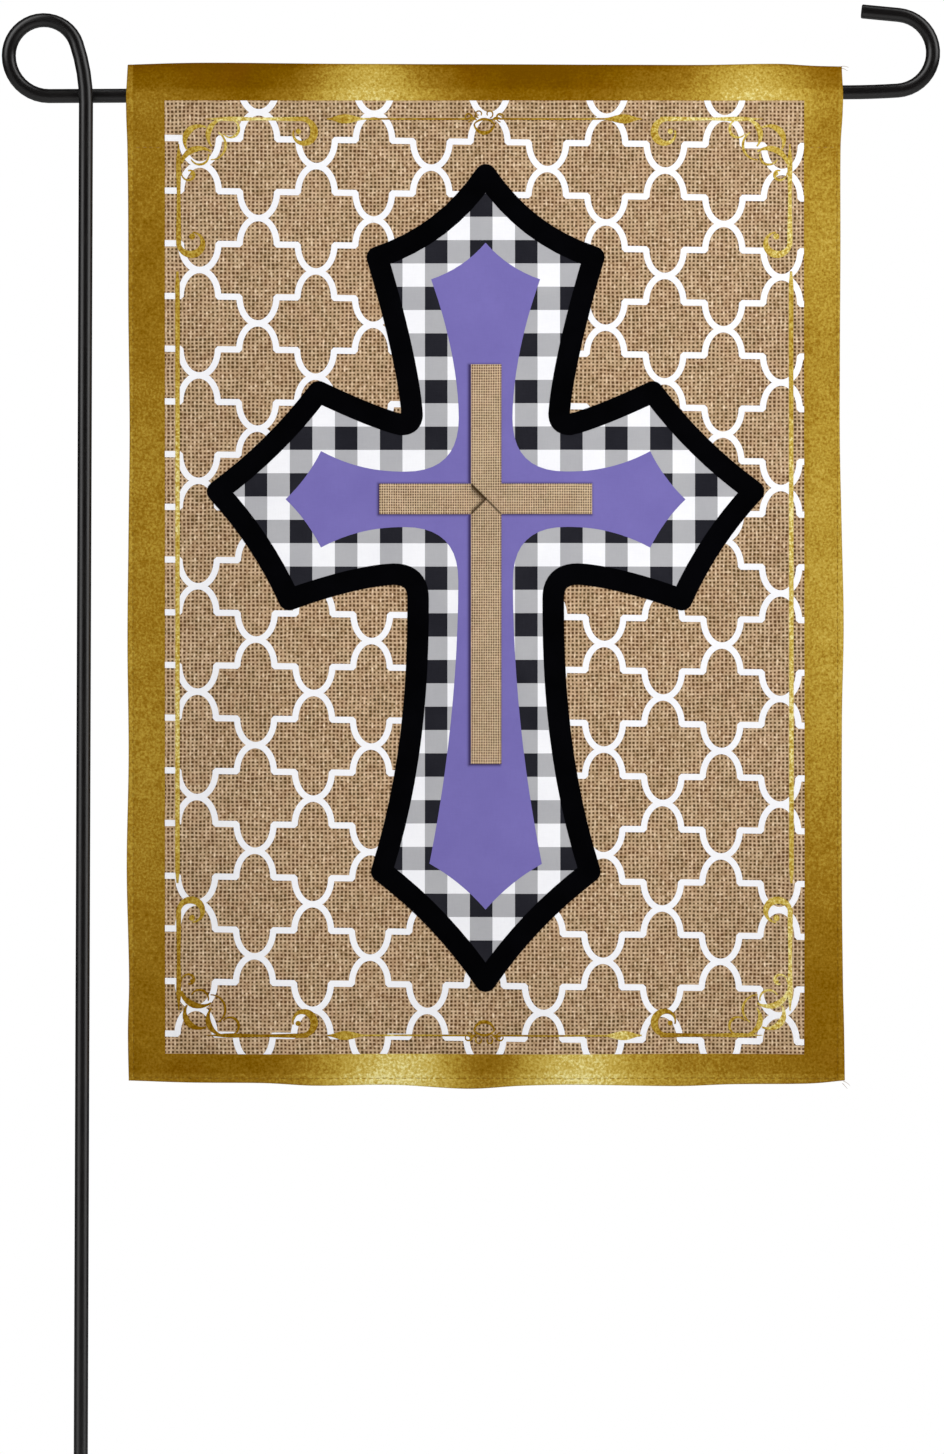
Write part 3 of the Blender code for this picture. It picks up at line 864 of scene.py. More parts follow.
def make_black_coat():
    material, tree, shader, place = new_material("satin_black_coat")
    pebble = noise(tree, place, PEBBLE_SCALE)
    dust = fit(tree, noise(tree, place, DUST_SCALE, 4.0, 0.6), *DUST_RANGE)
    feed(tree, shader.inputs["Base Color"], mix_colour(tree, dust, *COAT_INKS))
    feed(tree, shader.inputs["Roughness"], fit(tree, dust, 0.0, 1.0, *COAT_ROUGHNESS))
    bump = add_node(tree, "ShaderNodeBump")
    bump.inputs["Strength"].default_value = PEBBLE_BUMP
    bump.inputs["Distance"].default_value = PEBBLE_HEIGHT
    feed(tree, bump.inputs["Height"], pebble)
    feed(tree, shader.inputs["Normal"], bump.outputs["Normal"])
    return material


black_coat = make_black_coat()
print("coat:", black_coat.name)

# %% Round shading for the faceted solid
# Corners closer than this are joined, and edges that turn by more than this stay sharp.
ROUND_MERGE = 0.00001
ROUND_LIMIT = math.radians(35.0)


def make_round_shading():
    """A modifier's tree that joins the facets and shades them round, but for sharp edges."""
    tree = bpy.data.node_groups.new("round_shading", "GeometryNodeTree")
    tree.interface.new_socket("Geometry", in_out="INPUT", socket_type="NodeSocketGeometry")
    tree.interface.new_socket("Geometry", in_out="OUTPUT", socket_type="NodeSocketGeometry")
    merge = add_node(tree, "GeometryNodeMergeByDistance")
    merge.inputs["Distance"].default_value = ROUND_MERGE
    plain = add_node(tree, "GeometryNodeRemoveAttribute")
    plain.inputs["Name"].default_value = "custom_normal"
    smooth = add_node(tree, "GeometryNodeSetShadeSmooth", domain="FACE")
    sharp = add_node(tree, "GeometryNodeSetShadeSmooth", domain="EDGE")
    sharp.inputs["Shade Smooth"].default_value = False
    angle = add_node(tree, "GeometryNodeInputMeshEdgeAngle").outputs["Unsigned Angle"]
    feed(tree, sharp.inputs["Selection"], calc(tree, "GREATER_THAN", angle, ROUND_LIMIT))
    last = add_node(tree, "NodeGroupInput").outputs["Geometry"]
    for step in (merge, plain, smooth, sharp):
        tree.links.new(last, step.inputs["Geometry"])
        last = step.outputs["Geometry"]
    tree.links.new(last, add_node(tree, "NodeGroupOutput").inputs["Geometry"])
    return tree


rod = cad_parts["stand_rod"]
rod.data.materials.clear()
rod.data.materials.append(black_coat)
rod.modifiers.new("round_shading", "NODES").node_group = make_round_shading()
print("rod faces:", len(rod.data.polygons))

# %% [markdown]
# ## Where the gold is light
# Printed gold has soft light patches. Real foil would mirror the room and change with every view,
# but a print doesn't, so each patch is a tone that stays where it is. The tones are stored on the
# mesh as a value for each point, and the gold ink reads that value by its name. Each patch is one
# row: its middle, how far it reaches, and how much lighter or darker it makes the gold.
# The same value also carries painted shade on the sleeve and painted highlights at the edges.

# %% Soft patches, and painted shade and highlights at the edges
Glint = namedtuple("Glint", "left top reach_left reach_top strength")
GLINTS = (
    Glint(0.1065, 0.009, 0.0275, 0.030, 0.63),
    Glint(0.1380, 0.009, 0.0190, 0.030, 0.10),
    Glint(0.2310, 0.009, 0.0230, 0.030, 0.13),
    Glint(0.2787, 0.009, 0.0275, 0.030, 0.61),
    Glint(0.1210, 0.450, 0.0350, 0.030, 0.74),
    Glint(0.2020, 0.450, 0.0335, 0.030, 0.68),
    Glint(0.1600, 0.450, 0.0140, 0.030, -0.22),
    Glint(0.2680, 0.450, 0.0400, 0.020, 0.23),
    Glint(0.0500, 0.450, 0.0500, 0.020, 0.08),
    Glint(0.3120, 0.070, 0.0280, 0.055, 0.31),
    Glint(0.3120, 0.170, 0.0300, 0.080, 0.29),
    Glint(0.3120, 0.275, 0.0300, 0.080, 0.33),
    Glint(0.3120, 0.370, 0.0300, 0.070, 0.13),
    Glint(0.0080, 0.040, 0.0300, 0.050, 0.18),
    Glint(0.0080, 0.180, 0.0300, 0.090, 0.27),
    Glint(0.0080, 0.325, 0.0300, 0.080, 0.27),
    Glint(0.0080, 0.410, 0.0300, 0.040, 0.08),
)
GLINT_FLOOR = 0.10
# Painted shade and light: the sleeve turns away from the light above the rod, so its gold is
# painted darker there and lighter below the rod.
Band = namedtuple("Band", "down tone")
SLEEVE_SHADE_BANDS = (
    Band(0.0006, -0.22), Band(0.0018, -0.13), Band(0.0040, -0.09), Band(0.0107, -0.05),
    Band(0.0121, 0.03), Band(0.0165, 0.08), Band(0.0240, 0.0),
)
SLEEVE_DARK_ABOVE, SLEEVE_DARK_EASE = 0.0107, 0.003
# Folded edges catch a little light, painted here as a highlight: how wide the lighter strip
# is, and how much lighter.
Strip = namedtuple("Strip", "width tone")
LEFT_HIGHLIGHT, RIGHT_HIGHLIGHT, FOOT_HIGHLIGHT = Strip(0.0020, 0.07), Strip(0.0014, 0.07), Strip(0.0044, 0.10)
SLEEVE_END_HIGHLIGHT = Strip(0.0020, 0.12)
STRIP_EASE = 0.0007


# A painted highlight that fades out past the strip's width.
def painted_edge_highlight(away, strip):
    return strip.tone * (1.0 - smoothstep((away - strip.width) / STRIP_EASE))


def soft_patches(glints, floor, left, top):
    total = np.zeros_like(np.asarray(left, float)) + floor
    for glint in glints:
        off_left = (left - glint.left) / glint.reach_left
        off_top = (top - glint.top) / glint.reach_top
        total = total + glint.strength * np.exp(-(off_left ** 2 + off_top ** 2))
    return total


def glint_at(left, top):
    """How light the gold is at each place: printed patches on a floor, painted edge shade and
    highlights.
    """
    total = soft_patches(GLINTS, GLINT_FLOOR, left, top)
    # Painted shade on the sleeve above the rod, and painted light below it.
    total = total + np.interp(top, *zip(*SLEEVE_SHADE_BANDS))
    # Painted highlights along the right edge, the foot, the left edge and the sleeve's end.
    total = total + painted_edge_highlight(FLAG_WIDTH - left, RIGHT_HIGHLIGHT)
    total = total + painted_edge_highlight(FLAG_HEIGHT - top, FOOT_HIGHLIGHT)
    in_sleeve = 1.0 - smoothstep((top - SLEEVE_DARK_ABOVE) / SLEEVE_DARK_EASE)
    total = total + painted_edge_highlight(left, LEFT_HIGHLIGHT) + in_sleeve * painted_edge_highlight(left, SLEEVE_END_HIGHLIGHT)
    return np.clip(total, 0.0, 1.0)


print("gold's lightness at a place of the foot:", round(float(glint_at(0.12, 0.45)), 2))

# %% [markdown]
# ## The cloth itself
# One strip of cloth comes up the front, turns over the top, and is sewn down behind as a sleeve.
# A plane with a thickness modifier could not follow the fold and the rod, so the strip is built
# from its own section: a row of middle points for each place across, pushed out to both sides by
# half the cloth's thickness. Its cut rims are rounded, and the turned hem thickens its back.


# %% Rows and columns of the cloth
def steps(start, stop, size):
    count = max(1, round(abs(stop - start) / size))
    return [start + (stop - start) * i / count for i in range(count + 1)]


# Rows and columns lie closer together over a hem and under the seam.
RIM_PLACES = [0.0, 0.00008, 0.0002, 0.0004, 0.0009, 0.0015, 0.0019, 0.0023, 0.0027, 0.0031, 0.0037,
              0.0044, 0.0050, 0.0055, 0.0062]
UNDER_SEAM = (0.0, 0.0008, 0.0016, 0.0026, 0.0040, 0.0056, 0.0080)
COLUMN_STEP = 0.0038
ROW_STEP = 0.0042


def from_both_sides(places, size):
    """The given places at the flag's left, steps over its middle, and the same at its right."""
    inner = steps(places[-1], FLAG_WIDTH - places[-1], size)[1:-1]
    return np.array(places + inner + [FLAG_WIDTH - p for p in reversed(places)])


def column_places():
    return from_both_sides(RIM_PLACES, COLUMN_STEP) / FLAG_WIDTH


def sheet_drops():
    """Distances below the top for the rows under the seam, from the foot up."""
    near_seam = [SLEEVE_DROP + below for below in UNDER_SEAM]
    inner = steps(near_seam[-1], FLAG_HEIGHT - RIM_PLACES[-1], ROW_STEP)[1:-1]
    drops = near_seam + inner + [FLAG_HEIGHT - p for p in reversed(RIM_PLACES)]
    return drops[::-1]


print("columns:", len(column_places()), "rows under the seam:", len(sheet_drops()))


# %% The section of the free cloth, from the foot up to the seam
# The cut rims are rounded over this width, down to this share of the cloth's thickness.
RIM_ROUND = 0.0004
RIM_LEAST = 0.3


def rim_share(away):
    inside = np.clip(1.0 - away / RIM_ROUND, 0.0, 1.0)
    return RIM_LEAST + (1.0 - RIM_LEAST) * np.sqrt(1.0 - inside * inside)


def hanging_rows(across, front):
    """Rows of the free cloth, from the foot up to the seam, with the turned hem at its back."""
    rows = []
    side = np.minimum(across, 1.0 - across) * FLAG_WIDTH
    for drop in sheet_drops():
        down = drop / FLAG_HEIGHT + 0.0 * across
        foot = FLAG_HEIGHT - drop
        share = rim_share(side) * rim_share(foot)
        hem = HEM_RISE * (1.0 - smoothstep((np.minimum(side, foot) - HEM_WIDTH) / HEM_EASE))
        if drop < SLEEVE_DROP + SLEEVE_FLAP:
            hem = 0.0 * hem
        place = np.stack([edge_x(across, down), layer_depth(across, down), edge_z(across, down)], -1)
        rows.append((place, front, share * SHEET / 2.0, share * (SHEET / 2.0 + hem)))
    return rows


print("share of full thickness at a rim:", rim_share(0.0))

# %% The section of the sleeve and its flap
# Rows of the sleeve, as shares: from its foot to where it leaves the rod, round the rod, and on
# to the fold's crown. Then come the fold's turns in degrees, and the flap's rows under the seam.
LOWER_SHARES = (0.15, 0.35, 0.55, 0.8)
ROUND_SHARES = (0.0, 0.12, 0.28, 0.44, 0.6, 0.76, 0.9, 1.0)
UPPER_SHARES = (0.25, 0.5, 0.75, 0.9)
FOLD_TURNS = (0.0, 30.0, 60.0, 90.0, 120.0, 150.0, 180.0)
FLAP_ROWS = (0.0, 0.0008, 0.0016, 0.0026, 0.0036, SLEEVE_FLAP - 0.0001, SLEEVE_FLAP)


def sleeve_section(across, crown):
    """The sleeve's rows from its foot to its crown: x, z, half the inner gap, and small relief."""
    arm, top, bottom = sleeve_span(across)
    around = ROD_DIAMETER / 2.0 + CLEARANCE
    upper, lower = around * around / top, around * around / bottom
    heights = [-bottom + (bottom - lower) * t for t in LOWER_SHARES]
    heights += [-lower + (lower + upper) * t for t in ROUND_SHARES]
    heights += [upper + (crown - upper) * t for t in UPPER_SHARES]
    sleeve = []
    for height in heights:
        z = arm + height
        down = (edge_z(across, 0.0) - z) / FLAG_HEIGHT
        x = edge_x(across, down)
        gap = np.maximum(sleeve_half_gap(height, top, bottom), SEAM_GAP)
        gap = np.where(height > 0.0, np.maximum(gap, FOLD_INNER), gap)
        sleeve.append((x, z, gap + SHEET / 2.0, relief(x - FLAG_LEFT, FLAG_TOP - z)))
    return sleeve


def flap_rows(across, back):
    """Rows of the sleeve's flap, which lies behind the cloth under the seam."""
    rows = []
    side_share = rim_share(np.minimum(across, 1.0 - across) * FLAG_WIDTH)
    for below in FLAP_ROWS:
        down = (SLEEVE_DROP + below) / FLAG_HEIGHT + 0.0 * across
        half = side_share * rim_share(SLEEVE_FLAP - below) * SHEET / 2.0
        x, z = edge_x(across, down), edge_z(across, down)
        y = layer_depth(across, down) + SHEET + 2.0 * SEAM_GAP
        rows.append((np.stack([x, y, z], -1), back, half, half))
    return rows


def section_rows(across):
    """Rows of points: place, outward direction, and thickness to the outside and the inside."""
    front = np.stack([0.0 * across, 0.0 * across - 1.0, 0.0 * across], axis=-1)
    half = rim_share(np.minimum(across, 1.0 - across) * FLAG_WIDTH) * SHEET / 2.0
    fold_radius = FOLD_INNER + SHEET / 2.0
    arm = sleeve_span(across)[0]
    crown = edge_z(across, 0.0) - fold_radius - SHEET / 2.0 - arm
    sleeve = sleeve_section(across, crown)
    rows = hanging_rows(across, front)
    for x, z, away, small in sleeve:
        rows.append((np.stack([x, ARM_SETBACK - away + small, z], -1), front, half, half))
    x = edge_x(across, 0.0)
    small = relief(x - FLAG_LEFT, 0.0 * x)
    for turn in FOLD_TURNS:
        a = math.radians(turn)
        out = np.stack([0.0 * x, -math.cos(a) + 0.0 * x, math.sin(a) + 0.0 * x], -1)
        middle = np.stack([x, ARM_SETBACK + small, arm + crown], -1)
        rows.append((middle + fold_radius * out, out, half, half))
    for x, z, away, small in reversed(sleeve):
        rows.append((np.stack([x, ARM_SETBACK + away + small, z], -1), -front, half, half))
    return rows + flap_rows(across, -front)


print("rows of the whole section:", len(section_rows(column_places())))


# %% Making a piece and giving it tones
def add_object(name, data):
    new = bpy.data.objects.new(name, data)
    bpy.context.scene.collection.objects.link(new)
    return new


def finish_piece(name, points, faces, materials, facing=None, face_material=None):
    """Makes the mesh object, shades it smooth, and lets it ride with the model."""
    data = bpy.data.meshes.new(name)
    data.from_pydata([tuple(p) for p in points], [], faces)
    data.shade_smooth()
    for material in materials:
        data.materials.append(material)
    if face_material is not None:
        data.polygons.foreach_set("material_index", face_material)
    if facing is not None:
        data.normals_split_custom_set_from_vertices([tuple(n) for n in facing])
    piece = add_object(name, data)
    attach(piece, "root")
    return piece


def flat_places(piece):
    """How far each point of a piece is from the cloth's left and top edges."""
    points = np.array([v.co for v in piece.data.vertices])
    return points[:, 0] - FLAG_LEFT, FLAG_TOP - points[:, 2]


def add_tone(piece, name, tones):
    """Stores a tone for each point of a piece, which its material reads by name."""
    values = piece.data.attributes.new(name, "FLOAT", "POINT")
    values.data.foreach_set("value", tones.astype(np.float32))


print("nodes to cover:", [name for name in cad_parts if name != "stand_rod"])


# %% The flag's sheet
# A face takes gold on the printed side and where the hem is turned in, and the plain back elsewhere.
def make_flag_sheet():
    across = column_places()
    rows = section_rows(across)
    outer = np.array([place + out * thick[:, None] for place, out, thick, _ in rows])
    inner = np.array([place - out * thick[:, None] for place, out, _, thick in rows])
    count, width = outer.shape[:2]
    points = np.concatenate([outer.reshape(-1, 3), inner.reshape(-1, 3)])
    base = count * width
    faces, inks = [], []
    drops = sheet_drops()
    for r in range(count - 1):
        for c in range(width - 1):
            a, b = r * width + c, r * width + c + 1
            d, e = a + width, b + width
            faces += [(a, b, e, d), (base + a, base + d, base + e, base + b)]
            side = min(across[c], 1.0 - across[c + 1]) * FLAG_WIDTH
            turned_in = r < len(drops) and drops[r] > SLEEVE_DROP + SLEEVE_FLAP
            turned_in = turned_in and min(side, FLAG_HEIGHT - drops[r]) < HEM_WIDTH
            inks += [0, 0 if turned_in else 1]
    for c in range(width - 1):
        last = (count - 1) * width + c
        faces += [(c, base + c, base + c + 1, c + 1), (last, last + 1, base + last + 1, base + last)]
        inks += [0, 0]
    for r in range(count - 1):
        a, b = r * width, (r + 1) * width
        faces.append((a, b, base + b, base + a))
        a, b = a + width - 1, b + width - 1
        faces.append((a, base + a, base + b, b))
        inks += [0, 0]
    sheet = finish_piece("flag_sheet", points, faces, (GOLD_PRINT, PLAIN_BACK),
                         face_material=inks)
    add_tone(sheet, "glint", glint_at(points[:, 0] - FLAG_LEFT, FLAG_TOP - points[:, 2]))
    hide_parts("flag_cloth")
    return sheet


flag_sheet = make_flag_sheet()
print("cloth:", len(flag_sheet.data.vertices), "points,", len(flag_sheet.data.polygons), "faces")

# %% [markdown]
# ## Prints as thin films
# A print could be one large image, but then its edges blur when seen close. Here each colour
# field is its own flat film, laid on the cloth's waves a tenth of a millimetre out, and each new
# colour lies a little above the last. Plain bands and tiles are grids of points. Curved fields are
# filled by Blender's Delaunay triangles: every triangle between the outlines is tried, and those
# whose middle lies inside an outline are kept, so overlapping strokes join into one field.

# %% Laying flat fields on the cloth
# The largest distance between a film's points, and how far out from the cloth each film lies.
FILM_STEP = 0.0030
LIFT_GROUND, LIFT_LATTICE, LIFT_FRAME = 0.00012, 0.00025, 0.00034
LIFT_CHECK, LIFT_VIOLET, LIFT_RIM, LIFT_STRIP = 0.00034, 0.00041, 0.00048, 0.00048


def add_film(name, left, top, faces, lift, materials, inks=None):
    """A printed film from flat points, as distances from the cloth's left and top edges."""
    points, facing = on_cloth(left, top, lift)
    film = finish_piece(name, points, faces, materials, facing, inks)
    if GOLD_PRINT in materials:
        add_tone(film, "glint", glint_at(left, top))
    return film


def lay_grid(name, left, top, lift, material):
    """A film with rows and columns; left and top hold the place of each point."""
    rows, columns = left.shape
    first = (np.arange(rows - 1)[:, None] * columns + np.arange(columns - 1)).ravel()
    faces = np.stack([first, first + columns, first + columns + 1, first + 1], axis=-1).tolist()
    return add_film(name, left.ravel(), top.ravel(), faces, lift, [material])


def lay_box(name, left, top, right, bottom, lift, material, size=FILM_STEP):
    across, down = np.meshgrid(steps(left, right, size), steps(top, bottom, size))
    return lay_grid(name, across, down, lift, material)


print("film step, mm:", FILM_STEP * 1000)


# %% Sides and insides of curved outlines
def with_short_sides(outline, size=FILM_STEP):
    """The same closed outline with points added, so that no side is longer than a step."""
    points = []
    for (ax, ay), (bx, by) in zip(outline, outline[1:] + outline[:1]):
        count = max(1, math.ceil(math.hypot(bx - ax, by - ay) / size))
        points += [(ax + (bx - ax) * i / count, ay + (by - ay) * i / count) for i in range(count)]
    return points


def covered(xs, ys, outlines):
    """Which places lie inside at least one of the outlines."""
    order = np.argsort(xs)
    sorted_xs = xs[order]
    found = np.zeros(len(xs), bool)
    for outline in outlines:
        ring = np.array(outline)
        (ax, ay), (bx, by) = ring.T, np.roll(ring, -1, axis=0).T
        near = order[slice(*np.searchsorted(sorted_xs, (ax.min(), ax.max())))]
        near = near[(ys[near] > ay.min()) & (ys[near] < ay.max())]
        x, y = xs[near][:, None], ys[near][:, None]
        crosses = (ay > y) != (by > y)
        before = x < ax + (y - ay) * (bx - ax) / np.where(by == ay, 1.0, by - ay)
        turns = np.where(crosses & before, np.where(by > ay, 1, -1), 0).sum(axis=1)
        found[near] |= turns != 0
    return found


square = [(0.0, 0.0), (1.0, 0.0), (1.0, 1.0), (0.0, 1.0)]
print("is a place inside:", covered(np.array([0.5, 1.5]), np.array([0.5, 0.5]), [square]))

# %% Filling curved outlines
# Points closer than this are one. The inner grid is shifted by these shares of a step, off the
# round numbers that outlines start from.
MERGE = 1e-6
GRID_SHIFT = (0.37, 0.41)


def grid_inside(outlines, size=FILM_STEP):
    """Places of a square grid within the outlines' box."""
    xs = [x for outline in outlines for x, _ in outline]
    ys = [y for outline in outlines for _, y in outline]
    return [((i + GRID_SHIFT[0]) * size, (j + GRID_SHIFT[1]) * size)
            for i in range(math.floor(min(xs) / size), math.ceil(max(xs) / size))
            for j in range(math.floor(min(ys) / size), math.ceil(max(ys) / size))]


def lay_outlines(name, outlines, lift, materials, filled=True, holes=(), cuts=(), ink_of=None):
    """A film that is the union of flat outlines, less any holes, cut along any straight lines."""
    places, edges = [], []
    for outline in [*outlines, *holes]:
        ring = with_short_sides(outline) if filled else outline
        first, last = len(places), len(places) + len(ring) - 1
        edges += [(i, i + 1 if i < last else first) for i in range(first, last + 1)]
        places += ring
    for start, stop in cuts:
        edges.append((len(places), len(places) + 1))
        places += [start, stop]
    if filled:
        places += grid_inside(outlines)
    found, _, triangles, _, _, _ = delaunay_2d_cdt([Vector(p) for p in places], edges, [], 0, MERGE)
    flat = np.array(found)
    corners = np.array([t[::-1] for t in triangles])
    middles = flat[corners].mean(axis=1)
    kept = covered(*middles.T, outlines) & ~covered(*middles.T, holes)
    corners, middles = corners[kept], middles[kept]
    used, faces = np.unique(corners, return_inverse=True)
    left, top = flat[used].T
    inks = [ink_of(*middle) for middle in middles] if ink_of else None
    return add_film(name, left, top, faces.reshape(-1, 3).tolist(), lift, materials, inks)


print("grid places in a square of two steps:", len(grid_inside([square], 0.5)))

# %% [markdown]
# ## The gold border and the burlap ground
# The border is printed right up to the sewn edges, so its outer side follows the cloth's uneven
# rim, and its columns close up over the hem to keep the hem's small relief. The ground inside is
# laid as tiles: on one large piece the fine weave would turn soft when the colours are baked,
# while a tile of 50 millimetres keeps each thread.

# %% The border's edges
PANEL_LEFT, PANEL_TOP, PANEL_RIGHT, PANEL_BOTTOM = 0.0166, 0.0167, 0.3029, 0.4436
# The print stops this far inside the rims, and inside the fold at the top.
RIM_INSET = 0.00035
FOLD_INSET = 0.0009
# Columns of the border over a hem, and rows over the sleeve.
HEM_OFFSETS = RIM_PLACES[3:]
SLEEVE_PLACES = (0.0, 0.0006, 0.0014, 0.0024, 0.0040, 0.0062, 0.0084, 0.0098, 0.0112, 0.0132, 0.0158)


def rim_left(top):
    return -between(LEFT_EDGE, top / FLAG_HEIGHT, "out") + RIM_INSET


def rim_right(top):
    return FLAG_WIDTH + between(RIGHT_EDGE, top / FLAG_HEIGHT, "out") - RIM_INSET


def rim_top(left):
    return -between(TOP_EDGE, left / FLAG_WIDTH, "out") + FOLD_INSET


def rim_bottom(left):
    return FLAG_HEIGHT + between(BOTTOM_EDGE, left / FLAG_WIDTH, "out") - RIM_INSET


def hem_shares(band):
    """Shares of a band's width, from its sewn edge inwards, close together over the hem."""
    offsets = [o - RIM_INSET for o in HEM_OFFSETS] + steps(HEM_OFFSETS[-1], band, FILM_STEP)[1:]
    return np.array(offsets) / offsets[-1]


print("panel, mm:", round((PANEL_RIGHT - PANEL_LEFT) * 1000, 1), "by",
      round((PANEL_BOTTOM - PANEL_TOP) * 1000, 1))


# %% Laying the border
def lay_cross_band(name, outer, inner_top, shares):
    """A border band over the whole width, between a rim and the panel's edge."""
    run = from_both_sides(HEM_OFFSETS, FILM_STEP)
    run = (run - run[0]) / (run[-1] - run[0])
    share_across, share_in = np.meshgrid(run, shares)
    rough_top = outer(share_across * FLAG_WIDTH) * (1.0 - share_in) + inner_top * share_in
    left = rim_left(rough_top) + (rim_right(rough_top) - rim_left(rough_top)) * share_across
    top = outer(left) + (inner_top - outer(left)) * share_in
    order = slice(None) if outer is rim_top else slice(None, None, -1)
    lay_grid(name, left[order], top[order], LIFT_GROUND, GOLD_PRINT)


def lay_border():
    lay_cross_band("gold_border_top", rim_top, PANEL_TOP, np.array(SLEEVE_PLACES) / SLEEVE_PLACES[-1])
    lay_cross_band("gold_border_foot", rim_bottom, PANEL_BOTTOM, hem_shares(FLAG_HEIGHT - PANEL_BOTTOM))
    halves = steps(PANEL_TOP, PANEL_BOTTOM, (PANEL_BOTTOM - PANEL_TOP) / 2.0)
    for part, (high, low) in enumerate(zip(halves, halves[1:])):
        share, top = np.meshgrid(hem_shares(PANEL_LEFT), steps(high, low, FILM_STEP))
        left = rim_left(top) + (PANEL_LEFT - rim_left(top)) * share
        lay_grid(f"gold_border_left_{part}", left, top, LIFT_GROUND, GOLD_PRINT)
        left = rim_right(top) + (PANEL_RIGHT - rim_right(top)) * share
        lay_grid(f"gold_border_right_{part}", left[:, ::-1], top, LIFT_GROUND, GOLD_PRINT)


lay_border()

# %% Laying the ground
TILES_ACROSS, TILES_DOWN = 6, 8


def lay_ground():
    columns = steps(PANEL_LEFT, PANEL_RIGHT, (PANEL_RIGHT - PANEL_LEFT) / TILES_ACROSS)
    rows = steps(PANEL_TOP, PANEL_BOTTOM, (PANEL_BOTTOM - PANEL_TOP) / TILES_DOWN)
    for i, (left, right) in enumerate(zip(columns, columns[1:])):
        for j, (top, bottom) in enumerate(zip(rows, rows[1:])):
            lay_box(f"burlap_ground_{i}_{j}", left, top, right, bottom, LIFT_GROUND, BURLAP_PRINT)


lay_ground()

# %% [markdown]
# ## The cross's outline
# The figure is a traditional one, a long cross with flared arms and pointed ends. Its outline is
# drawn from a few round sizes, one row for each arm: how far it reaches, how wide it is at the
# neck and at each shoulder, how far back from its tip the shoulders stand, and how late the side
# flares. The same function draws the violet cross inside it.

# %% Sizes of the two crosses
# An arm's side before its tip is the first one on a clockwise walk round the figure. The side
# after its tip is given only where it is another.
Arm = namedtuple("Arm", "right down reach tip_aside neck hollow before after", defaults=(None,))
Side = namedtuple("Side", "shoulder point flare")
CROSS_MIDDLE = (0.1603, 0.1952)
OUTER_ARMS = (
    Arm(0, -1, 0.1455, 0.0, 0.0329, 0.0052, Side(0.0485, 0.0370, 1.35)),
    Arm(1, 0, 0.1200, -0.0036, 0.0335, 0.0024, Side(0.0482, 0.0452, 1.20), Side(0.0449, 0.0322, 1.50)),
    Arm(0, 1, 0.2155, 0.0, 0.0302, 0.0028, Side(0.0465, 0.0490, 2.35)),
    Arm(-1, 0, 0.1200, 0.0036, 0.0335, 0.0024, Side(0.0449, 0.0322, 1.50), Side(0.0482, 0.0452, 1.20)),
)
OUTER_CORNERS = (0.0048, 0.0110, 0.0110, 0.0048)
INNER_ARMS = (
    Arm(0, -1, 0.1150, 0.0, 0.0120, 0.0020, Side(0.0244, 0.0164, 1.80)),
    Arm(1, 0, 0.0895, 0.0, 0.0124, 0.0012, Side(0.0216, 0.0158, 2.20)),
    Arm(0, 1, 0.1835, 0.0, 0.0122, 0.0014, Side(0.0251, 0.0205, 1.95)),
    Arm(-1, 0, 0.0895, 0.0, 0.0124, 0.0012, Side(0.0216, 0.0158, 2.20)),
)
INNER_CORNERS = (0.0240, 0.0240, 0.0240, 0.0240)
print("outer cross, mm:", (OUTER_ARMS[0].reach + OUTER_ARMS[2].reach) * 1000, "high")

# %% Outline of a flared cross
# How many sides make an arm's flank, its pointed tip and the round corner to the next arm.
ARM_STEPS, TIP_STEPS, CORNER_STEPS = 12, 8, 10


def bow(start, pull, stop, count):
    """A curve from one place to another that leans towards a third."""
    points = []
    for k in range(count + 1):
        t = k / count
        points.append(tuple((1 - t) ** 2 * a + 2 * t * (1 - t) * b + t * t * c
                            for a, b, c in zip(start, pull, stop)))
    return points


def arm_side(arm, side, start, tip_aside):
    """One side of an arm, from its neck to its shoulder and tip, as distances out and aside."""
    out = arm.reach - side.point
    places = []
    for k in range(ARM_STEPS + 1):
        t = k / ARM_STEPS
        aside = arm.neck + (side.shoulder - arm.neck) * t ** side.flare
        places.append((start + (out - start) * t, aside))
    fall = side.shoulder - tip_aside
    length = math.hypot(side.point, fall)
    pull = (out + side.point / 2.0 - 2.0 * arm.hollow * fall / length,
            (side.shoulder + tip_aside) / 2.0 - 2.0 * arm.hollow * side.point / length)
    return places + bow(places[-1], pull, (arm.reach, tip_aside), TIP_STEPS)[1:]


def cross_place(arm, out, aside):
    return (CROSS_MIDDLE[0] + arm.right * out - arm.down * aside,
            CROSS_MIDDLE[1] + arm.down * out + arm.right * aside)


def cross_outline(arms, corners):
    """The closed outline, arm after arm, and the numbers of its sharp corners."""
    outline, sharp = [], []
    for k, arm in enumerate(arms):
        before, after = arms[k - 1], arms[(k + 1) % len(arms)]
        rising = arm_side(arm, arm.before, before.neck + corners[k - 1], -arm.tip_aside)
        falling = arm_side(arm, arm.after or arm.before, after.neck + corners[k], arm.tip_aside)
        tip = len(outline) + len(rising) - 1
        sharp += [tip - TIP_STEPS, tip, tip + TIP_STEPS]
        outline += [cross_place(arm, out, -aside) for out, aside in rising]
        outline += [cross_place(arm, out, aside) for out, aside in falling[-2::-1]]
        pull = cross_place(arm, after.neck, arm.neck)
        join = cross_place(arm, after.neck, arm.neck + corners[k])
        outline += bow(outline[-1], pull, join, CORNER_STEPS)[1:-1]
    return outline, sharp


outer_outline, outer_sharp = cross_outline(OUTER_ARMS, OUTER_CORNERS)
inner_outline, _ = cross_outline(INNER_ARMS, INNER_CORNERS)
print("outline points:", len(outer_outline), len(inner_outline))

